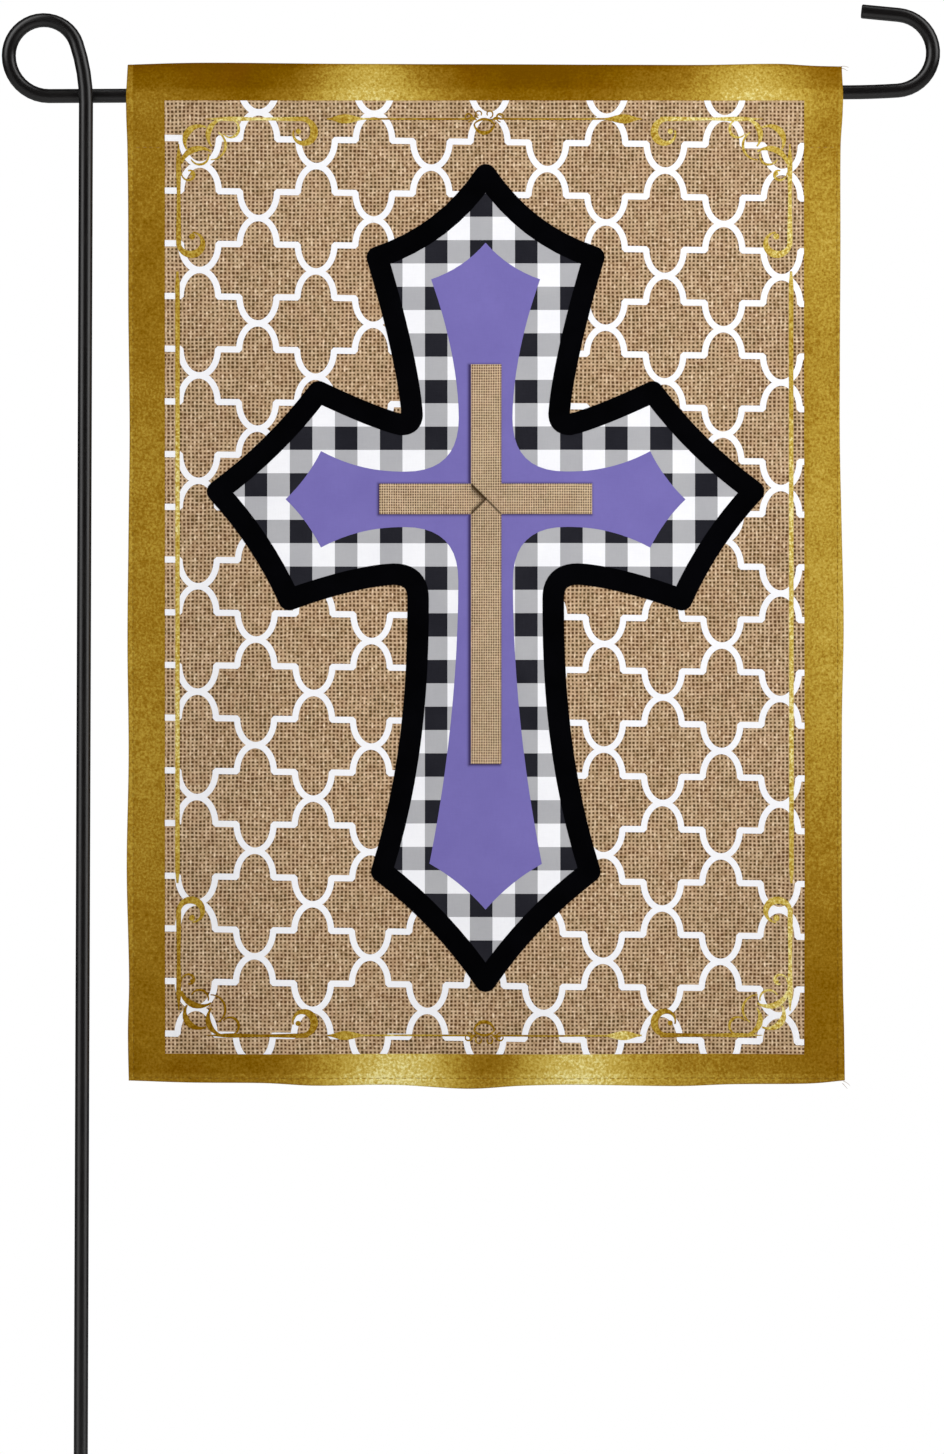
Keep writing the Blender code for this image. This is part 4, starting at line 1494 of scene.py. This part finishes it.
# %% [markdown]
# ## The white lattice
# This is the old four-lobed lattice found on tiles, screens and fretwork. It repeats, so only one
# line is described: from a pinch, a quarter of an oval, a level step, and a quarter oval to the
# next pinch. The print lies a little skew on the cloth, so the repeat has two slanted steps, and
# the cloth's slow stretch moves its columns a little to and fro. What the cross hides isn't laid.

# %% A line drawn with a brush
# A mitred corner may not reach out further than its width divided by this share.
MITRE_LEAST = 0.35


def brush(points, widths):
    """Four-sided pieces along a line whose width changes; its corners are mitred."""
    points = [Vector(p) for p in points]
    sides = []
    last = len(points) - 1
    for i, (point, width) in enumerate(zip(points, widths)):
        into = (point - points[i - 1]).normalized() if i else (points[1] - point).normalized()
        out = (points[i + 1] - point).normalized() if i < last else into
        middle = (into + out).normalized()
        across = Vector((-middle.y, middle.x))
        reach = width / 2.0 / max(MITRE_LEAST, across.dot(Vector((-into.y, into.x))))
        sides.append((point + across * reach, point - across * reach))
    return [[tuple(a), tuple(b), tuple(d), tuple(c)] for (a, b), (c, d) in zip(sides, sides[1:])]


def clip_to_box(outline, left, top, right, bottom):
    """The part of a small four-sided piece that lies in a box."""
    for axis, limit, sign in ((0, left, 1.0), (0, right, -1.0), (1, top, 1.0), (1, bottom, -1.0)):
        kept = []
        for a, b in zip(outline, outline[1:] + outline[:1]):
            in_a, in_b = sign * (a[axis] - limit) >= 0.0, sign * (b[axis] - limit) >= 0.0
            if in_a:
                kept.append(a)
            if in_a != in_b:
                t = (limit - a[axis]) / (b[axis] - a[axis])
                kept.append((a[0] + (b[0] - a[0]) * t, a[1] + (b[1] - a[1]) * t))
        outline = kept
    return outline


print("pieces in a line of three points:", len(brush([(0, 0), (1, 0), (1, 1)], [0.1] * 3)))

# %% The lattice
LATTICE_START = (0.05818, 0.02188)
LATTICE_ACROSS = (0.02607, 0.00033)
LATTICE_DOWN = (-0.00011, 0.02361)
LATTICE_COLUMNS, LATTICE_ROWS = range(-4, 12), range(-2, 20)
LATTICE_LINE = 0.00280
LATTICE_CORNER = 0.00045
LATTICE_STRETCH, STRETCH_COLUMNS = 0.00055, 8.4
LOBE_HALF_WIDTH = 0.0083
LOBE_STEPS = 9


def lattice_point(i, j):
    stretch = LATTICE_STRETCH * math.cos(2.0 * math.pi * i / STRETCH_COLUMNS)
    return (LATTICE_START[0] + i * LATTICE_ACROSS[0] + j * LATTICE_DOWN[0] + stretch,
            LATTICE_START[1] + i * LATTICE_ACROSS[1] + j * LATTICE_DOWN[1])


def lattice_line(i, j, way):
    """From one pinch to the next on the right, one row up or down."""
    lobe = LOBE_HALF_WIDTH / LATTICE_ACROSS[0]
    quarter = [math.radians(90.0 * k / LOBE_STEPS) for k in range(LOBE_STEPS + 1)]
    local = [(lobe * math.sin(t), 0.5 * (1.0 - math.cos(t))) for t in quarter[:-1]]
    local.append((lobe, 0.5 - LATTICE_CORNER / LATTICE_DOWN[1]))
    local.append((lobe + LATTICE_CORNER / LATTICE_ACROSS[0], 0.5))
    level = [(lobe + (1.0 - 2.0 * lobe) * k / 4.0, 0.5) for k in (1, 2, 3)]
    local += level + [(1.0 - x, 1.0 - y) for x, y in reversed(local)]
    return [lattice_point(i + x, j + way * y) for x, y in local]


def lay_lattice():
    pieces = []
    for i in LATTICE_COLUMNS:
        for j in LATTICE_ROWS:
            if (i + j) % 2:
                continue
            for way in (-1, 1):
                line = lattice_line(i, j, way)
                for piece in brush(line, [LATTICE_LINE] * len(line)):
                    kept = clip_to_box(piece, PANEL_LEFT, PANEL_TOP, PANEL_RIGHT, PANEL_BOTTOM)
                    if len(kept) > 2:
                        pieces.append(kept)
    middles = np.array([np.mean(piece, axis=0) for piece in pieces])
    hidden = covered(*middles.T, [outer_outline])
    shown = [piece for piece, under in zip(pieces, hidden) if not under]
    return lay_outlines("white_lattice", shown, LIFT_LATTICE, [WHITE_INK], filled=False)


lattice = lay_lattice()
print("lattice:", len(lattice.data.vertices), "points,", len(lattice.data.polygons), "faces")

# %% [markdown]
# ## The gold scroll frame
# A thin scrolled frame is a common printers' ornament. It is drawn here from sums only: straight
# lines that swell, and curls that wind in as a pen would. One corner is described, one row for
# each curl, and then mirrored to the other three. The frame's gold shines and dulls in other
# places than the border's, so it has a table of soft patches of its own.

# %% Curls, dots and straight runs of one corner
FRAME_MIDDLE = (0.1597, 0.2300)
FRAME_TOP = 0.0248
FRAME_LEFT = 0.0228
SIDE_LINE_LEFT = 0.0223
# A curl's middle, its radii and angles, and its pen widths: first, widest and last, with the
# share of its length at which it is widest. The last five rows are the ornament at the middle.
Curl = namedtuple("Curl", "left top first_radius last_radius first_angle turn first widest last at")
CORNER_CURLS = (
    Curl(0.0782, 0.0309, 0.0061, 0.0040, -90.0, 285.0, 0.0020, 0.0034, 0.0007, 0.32),
    Curl(0.0287, 0.0800, 0.0060, 0.0045, 180.0, -265.0, 0.0020, 0.0033, 0.0007, 0.40),
    Curl(0.0322, 0.0350, 0.0066, 0.0072, 150.0, 145.0, 0.0009, 0.0029, 0.0008, 0.50),
    Curl(0.0434, 0.0328, 0.0080, 0.0072, 262.0, -118.0, 0.0009, 0.0026, 0.0007, 0.50),
    Curl(0.0372, 0.0366, 0.0068, 0.0064, -60.0, 150.0, 0.0006, 0.0012, 0.0005, 0.40),
    Curl(0.0458, 0.0292, 0.0042, 0.0036, -60.0, 205.0, 0.0008, 0.0013, 0.0005, 0.40),
    Curl(0.0332, 0.0466, 0.0096, 0.0084, 192.0, 108.0, 0.0015, 0.0028, 0.0008, 0.45),
    Curl(0.0324, 0.0410, 0.0044, 0.0038, 155.0, -165.0, 0.0006, 0.0011, 0.0006, 0.50),
    Curl(0.0276, 0.0494, 0.0036, 0.0015, 190.0, -300.0, 0.0005, 0.0013, 0.0007, 0.55),
    Curl(0.1597, 0.0264, 0.0046, 0.0046, 10.0, 160.0, 0.0007, 0.0017, 0.0007, 0.50),
    Curl(0.1597, 0.0306, 0.0057, 0.0057, 216.0, 108.0, 0.0006, 0.0012, 0.0006, 0.50),
    Curl(0.1536, 0.0300, 0.0055, 0.0055, 250.0, 50.0, 0.0004, 0.0014, 0.0005, 0.60),
    Curl(0.1524, 0.0240, 0.0022, 0.0011, 90.0, -290.0, 0.0005, 0.0008, 0.0005, 0.40),
    Curl(0.1574, 0.0226, 0.0018, 0.0010, 100.0, 300.0, 0.0005, 0.0006, 0.0005, 0.40),
)
Dot = namedtuple("Dot", "left top radius")
CORNER_DOTS = (
    Dot(0.0764, 0.0303, 0.0012), Dot(0.0289, 0.0774, 0.0014), Dot(0.0288, 0.0492, 0.0009),
)
# Straight runs: along which side, where they start and stop, and their pen widths.
Run = namedtuple("Run", "side start stop first widest last at")
CORNER_RUNS = (
    Run("top", 0.0350, 0.0600, 0.0003, 0.0020, 0.0012, 0.45),
    Run("top", 0.0600, 0.0810, 0.0013, 0.0020, 0.0017, 0.90),
    Run("left", 0.0360, 0.0600, 0.0006, 0.0023, 0.0016, 0.35),
    Run("left", 0.0600, 0.0815, 0.0017, 0.0023, 0.0022, 0.90),
    Run("top", 0.0892, 0.1066, 0.0006, 0.0042, 0.0007, 0.45),
    Run("top", 0.1060, 0.1530, 0.0008, 0.0008, 0.0008, 0.50),
    Run("side", 0.0930, 0.1060, 0.0010, 0.0021, 0.0021, 0.50),
    Run("side", 0.1060, 0.2300, 0.0021, 0.0020, 0.0020, 0.50),
)
print("curls:", len(CORNER_CURLS), "dots:", len(CORNER_DOTS), "runs:", len(CORNER_RUNS))

# %% Where the frame's gold is light
FRAME_GLINTS = (
    Glint(0.0550, 0.0240, 0.0200, 0.0200, 0.45),
    Glint(0.1040, 0.0240, 0.0060, 0.0100, 0.28),
    Glint(0.1600, 0.0250, 0.0380, 0.0200, -0.15),
    Glint(0.2590, 0.0240, 0.0260, 0.0200, 0.48),
    Glint(0.0223, 0.1910, 0.0200, 0.0450, 0.33),
    Glint(0.0223, 0.2960, 0.0200, 0.0500, 0.33),
    Glint(0.2971, 0.0700, 0.0150, 0.0300, 0.38),
    Glint(0.2971, 0.2050, 0.0150, 0.0600, 0.33),
    Glint(0.2971, 0.3020, 0.0150, 0.0500, 0.33),
    Glint(0.2971, 0.4000, 0.0200, 0.0330, 0.36),
    Glint(0.0450, 0.4300, 0.0450, 0.0350, -0.24),
    Glint(0.1130, 0.4350, 0.0200, 0.0200, 0.17),
    Glint(0.1640, 0.4350, 0.0240, 0.0200, -0.17),
    Glint(0.2190, 0.4350, 0.0110, 0.0200, 0.34),
    Glint(0.2470, 0.4350, 0.0110, 0.0150, -0.14),
    Glint(0.2970, 0.4300, 0.0180, 0.0200, 0.18),
)
FRAME_GLINT_FLOOR = 0.45
print("patches on the frame:", len(FRAME_GLINTS))

# %% From the tables to pen strokes
# A curl takes a step for each so many degrees, but never fewer than so many in all.
CURL_STEP_TURN, CURL_LEAST_STEPS = 12.0, 10
RUN_STEP = 0.0020


def swell(count, first, widest, last, at):
    """Pen widths that grow to a widest place and thin out again."""
    widths = []
    for k in range(count):
        t = k / (count - 1)
        if t < at:
            widths.append(first + (widest - first) * math.sin(0.5 * math.pi * t / at) ** 2)
        else:
            fall = (t - at) / max(1e-6, 1.0 - at)
            widths.append(last + (widest - last) * math.cos(0.5 * math.pi * fall) ** 2)
    return widths


def curl_points(curl):
    """A spiral. Angle 0 points right and 90 points down, and a positive turn is clockwise."""
    count = max(CURL_LEAST_STEPS, round(abs(curl.turn) / CURL_STEP_TURN))
    points = []
    for k in range(count + 1):
        t = k / count
        radius = curl.first_radius * (curl.last_radius / curl.first_radius) ** t
        angle = math.radians(curl.first_angle + curl.turn * t)
        points.append((curl.left + radius * math.cos(angle), curl.top + radius * math.sin(angle)))
    return points


def run_points(run):
    places = steps(run.start, run.stop, RUN_STEP)
    if run.side == "top":
        return [(place, FRAME_TOP) for place in places]
    left = FRAME_LEFT if run.side == "left" else SIDE_LINE_LEFT
    return [(left, place) for place in places]


def disc(middle, radius, count):
    return [(middle[0] + radius * math.cos(2.0 * math.pi * k / count),
             middle[1] + radius * math.sin(2.0 * math.pi * k / count)) for k in range(count)]


print("points of the first curl:", len(curl_points(CORNER_CURLS[0])))

# %% Laying the frame
DOT_SIDES = 12


def lay_frame():
    strokes = []
    lines = [(curl, curl_points(curl)) for curl in CORNER_CURLS]
    lines += [(run, run_points(run)) for run in CORNER_RUNS]
    for pen, points in lines:
        strokes += brush(points, swell(len(points), pen.first, pen.widest, pen.last, pen.at))
    strokes += [disc((dot.left, dot.top), dot.radius, DOT_SIDES) for dot in CORNER_DOTS]
    pieces = []
    for turn_x in (1.0, -1.0):
        for turn_y in (1.0, -1.0):
            pieces += [[(FRAME_MIDDLE[0] + turn_x * (x - FRAME_MIDDLE[0]),
                         FRAME_MIDDLE[1] + turn_y * (y - FRAME_MIDDLE[1])) for x, y in stroke]
                       for stroke in strokes]
    film = lay_outlines("gold_scroll_frame", pieces, LIFT_FRAME, [GOLD_LINE], filled=False)
    add_tone(film, "glint", soft_patches(FRAME_GLINTS, FRAME_GLINT_FLOOR, *flat_places(film)))
    return film


scroll_frame = lay_frame()
print("scroll frame:", len(scroll_frame.data.polygons), "faces")

# %% [markdown]
# ## Check, rim and violet
# Inside the outline lies a woven check of three tones. It is one film, cut along the check's
# lines, and each of its faces takes the ink of its square. The black rim is a broad brush along
# the outline, with a disc at each sharp corner to round it.

# %% The check
CHECK_ACROSS, CHECK_DOWN = 0.01008, 0.01045
CHECK_START = (0.1533, 0.0581)
CHECK_LINES = range(-16, 40)


def check_ink(left, top):
    """The number of a square's ink: dark where two stripes cross, grey under one, else white."""
    column = math.floor((left - CHECK_START[0]) / CHECK_ACROSS) % 2
    row = math.floor((top - CHECK_START[1]) / CHECK_DOWN) % 2
    return column + row


def lay_check():
    cuts = []
    for k in CHECK_LINES:
        x, y = CHECK_START[0] + k * CHECK_ACROSS, CHECK_START[1] + k * CHECK_DOWN
        if PANEL_LEFT < x < PANEL_RIGHT:
            cuts.append(((x, PANEL_TOP), (x, PANEL_BOTTOM)))
        if PANEL_TOP < y < PANEL_BOTTOM:
            cuts.append(((PANEL_LEFT, y), (PANEL_RIGHT, y)))
    return lay_outlines("check_cross", [outer_outline], LIFT_CHECK, [DARK_INK, GREY_INK, WHITE_INK],
                        holes=[inner_outline], cuts=cuts, ink_of=check_ink)


check_film = lay_check()
print("check:", len(check_film.data.polygons), "faces")

# %% The rim and the violet cross
RIM_WIDTH = 0.0096
RIM_CORNER_SIDES = 24


def lay_rim():
    first = outer_sharp[0]
    turned = outer_outline[first:] + outer_outline[:first + 1]
    stops = [c - first for c in outer_sharp] + [len(outer_outline)]
    pieces = [disc(outer_outline[c], RIM_WIDTH / 2.0, RIM_CORNER_SIDES) for c in outer_sharp]
    for start, stop in zip(stops, stops[1:]):
        side = turned[start:stop + 1]
        pieces += brush(side, [RIM_WIDTH] * len(side))
    return lay_outlines("black_rim", pieces, LIFT_RIM, [BLACK_INK])


rim_film = lay_rim()
violet_film = lay_outlines("violet_cross", [inner_outline], LIFT_VIOLET, [VIOLET_INK])
print("rim:", len(rim_film.data.polygons), "violet:", len(violet_film.data.polygons), "faces")

# %% [markdown]
# ## The burlap strips
# The strips look like ribbon that is folded through itself where they cross. They are print too,
# so they are flat films with a finer weave, and each fold is a dark line that fades to one side.
# The crossing is a film of its own, whose points lie close enough to hold those lines as tones.

# %% Dark lines of the folds
# A fold runs from the middle to a corner. It fades softly to one side and sharply to the other.
Fold = namedtuple("Fold", "to_right to_foot strength soft_reach soft_side")
FOLDS = (
    Fold(-1.0, -1.0, 0.97, 0.00210, 1.0),
    Fold(-1.0, 1.0, 0.95, 0.00115, -1.0),
    Fold(1.0, 1.0, 0.85, 0.00060, -1.0),
)
SHARP_REACH = 0.00040


def fold_shade(left, top):
    """Dark lines from the crossing's middle to three of its corners."""
    across, down = left - UPRIGHT_MIDDLE, top - CROSSBAR_MIDDLE
    total = np.zeros_like(across)
    for fold in FOLDS:
        along = (across * fold.to_right + down * fold.to_foot) / math.sqrt(2.0)
        aside = (across * fold.to_foot - down * fold.to_right) / math.sqrt(2.0)
        reach = np.where(aside * fold.soft_side > 0.0, fold.soft_reach, SHARP_REACH)
        line = np.exp(-((aside / reach) ** 2)) * (along > -SHARP_REACH)
        total = np.maximum(total, fold.strength * line)
    return total


print("folds:", len(FOLDS))

# %% Laying the strips
FOLD_STEP = 0.00032


def lay_strips():
    left, right = UPRIGHT_MIDDLE - STRIP_HALF, UPRIGHT_MIDDLE + STRIP_HALF
    high, low = CROSSBAR_MIDDLE - STRIP_HALF, CROSSBAR_MIDDLE + STRIP_HALF
    lay_box("burlap_upright_top", left, UPRIGHT_TOP, right, high, LIFT_STRIP, RIBBON_PRINT)
    halves = steps(low, UPRIGHT_FOOT, (UPRIGHT_FOOT - low) / 2.0)
    for part, (top, foot) in enumerate(zip(halves, halves[1:])):
        lay_box(f"burlap_upright_{part}", left, top, right, foot, LIFT_STRIP, RIBBON_PRINT)
    lay_box("burlap_crossbar_left", CROSSBAR_LEFT, high, left, low, LIFT_STRIP, RIBBON_PRINT)
    lay_box("burlap_crossbar_right", right, high, CROSSBAR_RIGHT, low, LIFT_STRIP, RIBBON_PRINT)
    middle = lay_box("burlap_crossing", left, high, right, low, LIFT_STRIP, RIBBON_PRINT, FOLD_STEP)
    add_tone(middle, "fold_shade", fold_shade(*flat_places(middle)))


lay_strips()

# %% [markdown]
# ## Stitches and loose threads
# The hems and the sleeve are sewn with a lockstitch: short dashes that dive into the cloth at
# both ends. Each dash is a tiny tube that rises a little above the face. They are gathered into
# one mesh for each seam, since hundreds of separate objects would only slow everything down.
# At the two right corners a few cut thread ends stand out.

# %% Tubes of thread
THREAD = 0.00026
THREAD_SIDES = 6
# A direction that no seam runs along, from which a tube's rings are turned.
TUBE_UP = Vector((0.0, -1.0, 0.12))


def tube_along(points, radii, start):
    """Rings of points round a line, and the faces between them."""
    vertices, faces = [], []
    count = len(points)
    for i, (point, radius) in enumerate(zip(points, radii)):
        ahead = points[min(i + 1, count - 1)] - points[max(i - 1, 0)]
        ahead.normalize()
        aside = ahead.cross(TUBE_UP).normalized()
        lift = aside.cross(ahead)
        for k in range(THREAD_SIDES):
            a = 2.0 * math.pi * k / THREAD_SIDES
            vertices.append(point + (aside * math.cos(a) + lift * math.sin(a)) * radius)
    for i in range(count - 1):
        for k in range(THREAD_SIDES):
            a, b = start + i * THREAD_SIDES + k, start + i * THREAD_SIDES + (k + 1) % THREAD_SIDES
            faces.append((a, b, b + THREAD_SIDES, a + THREAD_SIDES))
    faces.append(tuple(start + k for k in reversed(range(THREAD_SIDES))))
    last = start + (count - 1) * THREAD_SIDES
    faces.append(tuple(last + k for k in range(THREAD_SIDES)))
    return vertices, faces


print("thread, mm:", THREAD * 1000)

# %% Sewing a row of dashes
STITCH_PITCH = 0.0030
STITCH_LENGTH = 0.0023
# A dash strays to one side by up to this much.
STITCH_JOG = 0.00006
draws = random.Random(11)
# The shape of a dash, by the share of its length: how far it rises and how thick it is.
Dash = namedtuple("Dash", "at rise thick")
DASH = (
    Dash(0.0, -0.5, 0.55), Dash(0.15, 0.35, 0.9), Dash(0.5, 0.62, 1.0), Dash(0.85, 0.35, 0.9),
    Dash(1.0, -0.5, 0.55),
)


def sew(name, rows, material, depth_of, lift, out, thread=THREAD):
    """Stitches along flat rows, each a list of places, on the side that out points to."""
    vertices, faces = [], []
    for row in rows:
        for (ax, ay), (bx, by) in zip(row, row[1:]):
            jog = draws.uniform(-STITCH_JOG, STITCH_JOG)
            share = STITCH_LENGTH / STITCH_PITCH
            jog_x, jog_y = (0.0, jog) if abs(bx - ax) > abs(by - ay) else (jog, 0.0)
            line, radii = [], []
            for dash in DASH:
                t = 0.5 + (dash.at - 0.5) * share
                x = ax + (bx - ax) * t + jog_x
                y = ay + (by - ay) * t + jog_y
                rise = lift + dash.rise * thread
                depth = float(depth_of(np.array(x), np.array(y))) + out * rise
                line.append(Vector((FLAG_LEFT + x, depth, FLAG_TOP - y)))
                radii.append(thread / 2.0 * dash.thick)
            more, sides = tube_along(line, radii, len(vertices))
            vertices += more
            faces += sides
    piece = finish_piece(name, vertices, faces, [material])
    return piece


def back_depth(left, top):
    """The depth of the cloth's back, with the hem's second layer near its edges."""
    across, down = shares_at(left, top)
    side = np.minimum(across, 1.0 - across) * FLAG_WIDTH
    foot = (1.0 - down) * FLAG_HEIGHT
    hem = HEM_RISE * (1.0 - smoothstep((np.minimum(side, foot) - HEM_WIDTH) / HEM_EASE))
    flap = down * FLAG_HEIGHT < SLEEVE_DROP + SLEEVE_FLAP
    return layer_depth(across, down) + SHEET / 2.0 + np.where(flap, SHEET + 2.0 * SEAM_GAP, hem)


print("dashes in 100 mm:", round(0.1 / STITCH_PITCH))

# %% The seams
# The seam runs this far under the sleeve, and a row starts this far from the cloth's end.
SEAM_STITCH = SLEEVE_DROP + 0.0018
ROW_START = 0.003
HEM_THREAD_FRONT, SEAM_THREAD_FRONT = 0.00022, 0.00020
FRONT, BACK = -1.0, 1.0
side_places = steps(SLEEVE_DROP + ROW_START, FLAG_HEIGHT - FOOT_STITCH, STITCH_PITCH)
foot_places = steps(HEM_STITCH, FLAG_WIDTH - HEM_STITCH, STITCH_PITCH)
seam_places = steps(ROW_START, FLAG_WIDTH - ROW_START, STITCH_PITCH)
hem_rows = [
    [(HEM_STITCH, y) for y in side_places],
    [(FLAG_WIDTH - HEM_STITCH, y) for y in side_places],
    [(x, FLAG_HEIGHT - FOOT_STITCH) for x in foot_places],
]
seam_rows = [[(x, SEAM_STITCH) for x in seam_places]]
sew("hem_stitches_front", hem_rows, HEM_THREAD, face_depth, LIFT_GROUND, FRONT, HEM_THREAD_FRONT)
sew("hem_stitches_back", hem_rows, SEAM_THREAD, back_depth, 0.0, BACK)
sew("seam_stitches_front", seam_rows, FRONT_THREAD, face_depth, 0.0, FRONT, SEAM_THREAD_FRONT)
sew("seam_stitches_back", seam_rows, SEAM_THREAD, back_depth, 0.0, BACK)

# %% Loose thread ends
# Where an end leaves the cloth, how far it reaches to the right and down, and how far it droops.
LooseEnd = namedtuple("LooseEnd", "left top reach_left reach_top droop")
LOOSE_ENDS = (
    LooseEnd(0.3195, 0.0012, 0.0034, -0.0006, 0.0011),
    LooseEnd(0.3199, 0.0020, 0.0026, 0.0007, 0.0006),
    LooseEnd(0.3204, 0.4556, 0.0030, 0.0008, 0.0012),
    LooseEnd(0.3200, 0.4566, 0.0022, 0.0020, 0.0004),
)
END_STEPS = 7
# An end bows to the front by this much, over this many radians, and thins from root to tip.
END_BOW, END_BOW_TURN = 0.0006, 2.4
END_ROOT, END_THINNING = 0.42, 0.2


def make_loose_ends():
    vertices, faces = [], []
    for end in LOOSE_ENDS:
        root = Vector(on_cloth(end.left, end.top, 0.0)[0])
        line, radii = [], []
        for k in range(END_STEPS + 1):
            t = k / END_STEPS
            line.append(root + Vector((end.reach_left * t, -END_BOW * math.sin(END_BOW_TURN * t),
                                       -end.reach_top * t - end.droop * t * t)))
            radii.append(THREAD * (END_ROOT - END_THINNING * k / END_STEPS))
        more, sides = tube_along(line, radii, len(vertices))
        vertices += more
        faces += sides
    piece = finish_piece("loose_threads", vertices, faces, [HEM_THREAD])


make_loose_ends()
print("loose thread ends:", len(LOOSE_ENDS))

# %% [markdown]
# ## What the cloth was before it was hung
# The cut is the flag, a sleeve that is turned over at its top, and a narrow hem along the sides
# and the foot.
# A hem takes a little more cloth than its width, for the turn of the fold.

# %% [markdown]
# ## Floor, light and camera
# The photo is a plain studio picture on white. A wide pale floor and a white surround give the
# same even light, and one large lamp from the upper right and a weaker one from the left bring
# out the cloth's soft folds. A round black rod shows its form only by what it mirrors, so the
# surround has two tall soft boxes that reflections alone see, and the lamps themselves aren't
# mirrored. A long lens from far away keeps the flag's edges square.

# %% The floor
FLOOR_HALF = 2.3
FLOOR_INKS = (ink(238, 238, 238), ink(244, 244, 244))
FLOOR_CLOUD_SCALE, FLOOR_ROUGHNESS = 3.0, 0.9


def make_floor():
    data = bpy.data.meshes.new("pale_floor")
    h = FLOOR_HALF
    data.from_pydata([(-h, -h, 0.0), (h, -h, 0.0), (h, h, 0.0), (-h, h, 0.0)], [], [(0, 1, 2, 3)])
    material, tree, shader, place = new_material("pale_floor")
    cloud = noise(tree, place, FLOOR_CLOUD_SCALE, 3.0)
    feed(tree, shader.inputs["Base Color"], mix_colour(tree, cloud, *FLOOR_INKS))
    shader.inputs["Roughness"].default_value = FLOOR_ROUGHNESS
    data.materials.append(material)
    add_object("pale_floor", data)


make_floor()
print("floor, m:", FLOOR_HALF * 2.0)

# %% The white surround with its soft boxes
# The boxes stand this far round to each side, both shifted a little to the right. They fade over
# this much, and end below at this height of the direction.
BOX_TURN, BOX_SHIFT, BOX_REACH = math.radians(60.0), math.radians(8.0), math.radians(34.0)
BOX_FOOT = (-0.17, 0.02)


def soft_boxes(tree):
    """A mask over directions: a tall soft box at each side."""
    x, y, z = parts_of(tree, add_node(tree, "ShaderNodeTexCoord").outputs["Generated"])
    turned = calc(tree, "ARCTAN2", x, calc(tree, "MULTIPLY", y, -1.0))
    turned = calc(tree, "ABSOLUTE", calc(tree, "SUBTRACT", turned, BOX_SHIFT))
    away = calc(tree, "ABSOLUTE", calc(tree, "SUBTRACT", turned, BOX_TURN))
    across = fit(tree, away, BOX_REACH, 0.0, smooth=True)
    return calc(tree, "MULTIPLY", across, fit(tree, z, *BOX_FOOT, smooth=True))


def make_world(seen, ambient, mirrored, boxes):
    """A white surround: one strength as seen, one as light, and a dark one in reflections."""
    world = bpy.data.worlds.new("white_surround")
    bpy.context.scene.world = world
    world.use_nodes = True
    tree = world.node_tree
    background = tree.nodes["Background"]
    background.inputs["Color"].default_value = (1.0, 1.0, 1.0, 1.0)
    path = add_node(tree, "ShaderNodeLightPath")
    mirror = calc(tree, "MULTIPLY_ADD", soft_boxes(tree), boxes, mirrored - ambient)
    strength = calc(tree, "MULTIPLY_ADD", path.outputs["Is Glossy Ray"], mirror, ambient)
    strength = calc(tree, "MULTIPLY_ADD", path.outputs["Is Camera Ray"], seen - ambient, strength)
    feed(tree, background.inputs["Strength"], strength)


make_world(seen=1.0, ambient=0.30, mirrored=0.05, boxes=3.6)
print("surround:", bpy.context.scene.world.name)

# %% Two lamps
Lamp = namedtuple("Lamp", "name place width height power")
LAMPS = (
    Lamp("upper_right_lamp", (0.62, -1.05, 1.09), 0.8, 0.8, 11.9),
    Lamp("left_lamp", (-1.5, -1.4, 0.8), 0.5, 1.2, 4.8),
)
LAMP_AIM = Vector((0.17, 0.0, 0.62))


def make_lamp(row):
    data = bpy.data.lights.new(row.name, "AREA")
    data.shape = "RECTANGLE"
    data.size, data.size_y, data.energy = row.width, row.height, row.power
    lamp = add_object(row.name, data)
    lamp.location = row.place
    lamp.rotation_euler = (LAMP_AIM - Vector(row.place)).to_track_quat("-Z", "Y").to_euler()
    lamp.visible_glossy = False


for row in LAMPS:
    make_lamp(row)
print("lamps:", [row.name for row in LAMPS])

# %% The camera
CAMERA_AWAY = 3.0
SENSOR = 36.0
VIEW_MIDDLE = (0.1758, 0.5898)
VIEW_HEIGHT = 0.6501


def make_camera():
    data = bpy.data.cameras.new("camera")
    data.sensor_width = SENSOR
    data.lens = SENSOR * CAMERA_AWAY / VIEW_HEIGHT
    data.clip_start, data.clip_end = 0.1, 60.0
    camera = add_object("camera", data)
    camera.location = (VIEW_MIDDLE[0], -CAMERA_AWAY, VIEW_MIDDLE[1])
    camera.rotation_euler = (math.radians(90.0), 0.0, 0.0)
    bpy.context.scene.camera = camera
    return camera


camera = make_camera()
bpy.context.scene.view_settings.view_transform = "Standard"
print("lens, mm:", round(camera.data.lens, 1))
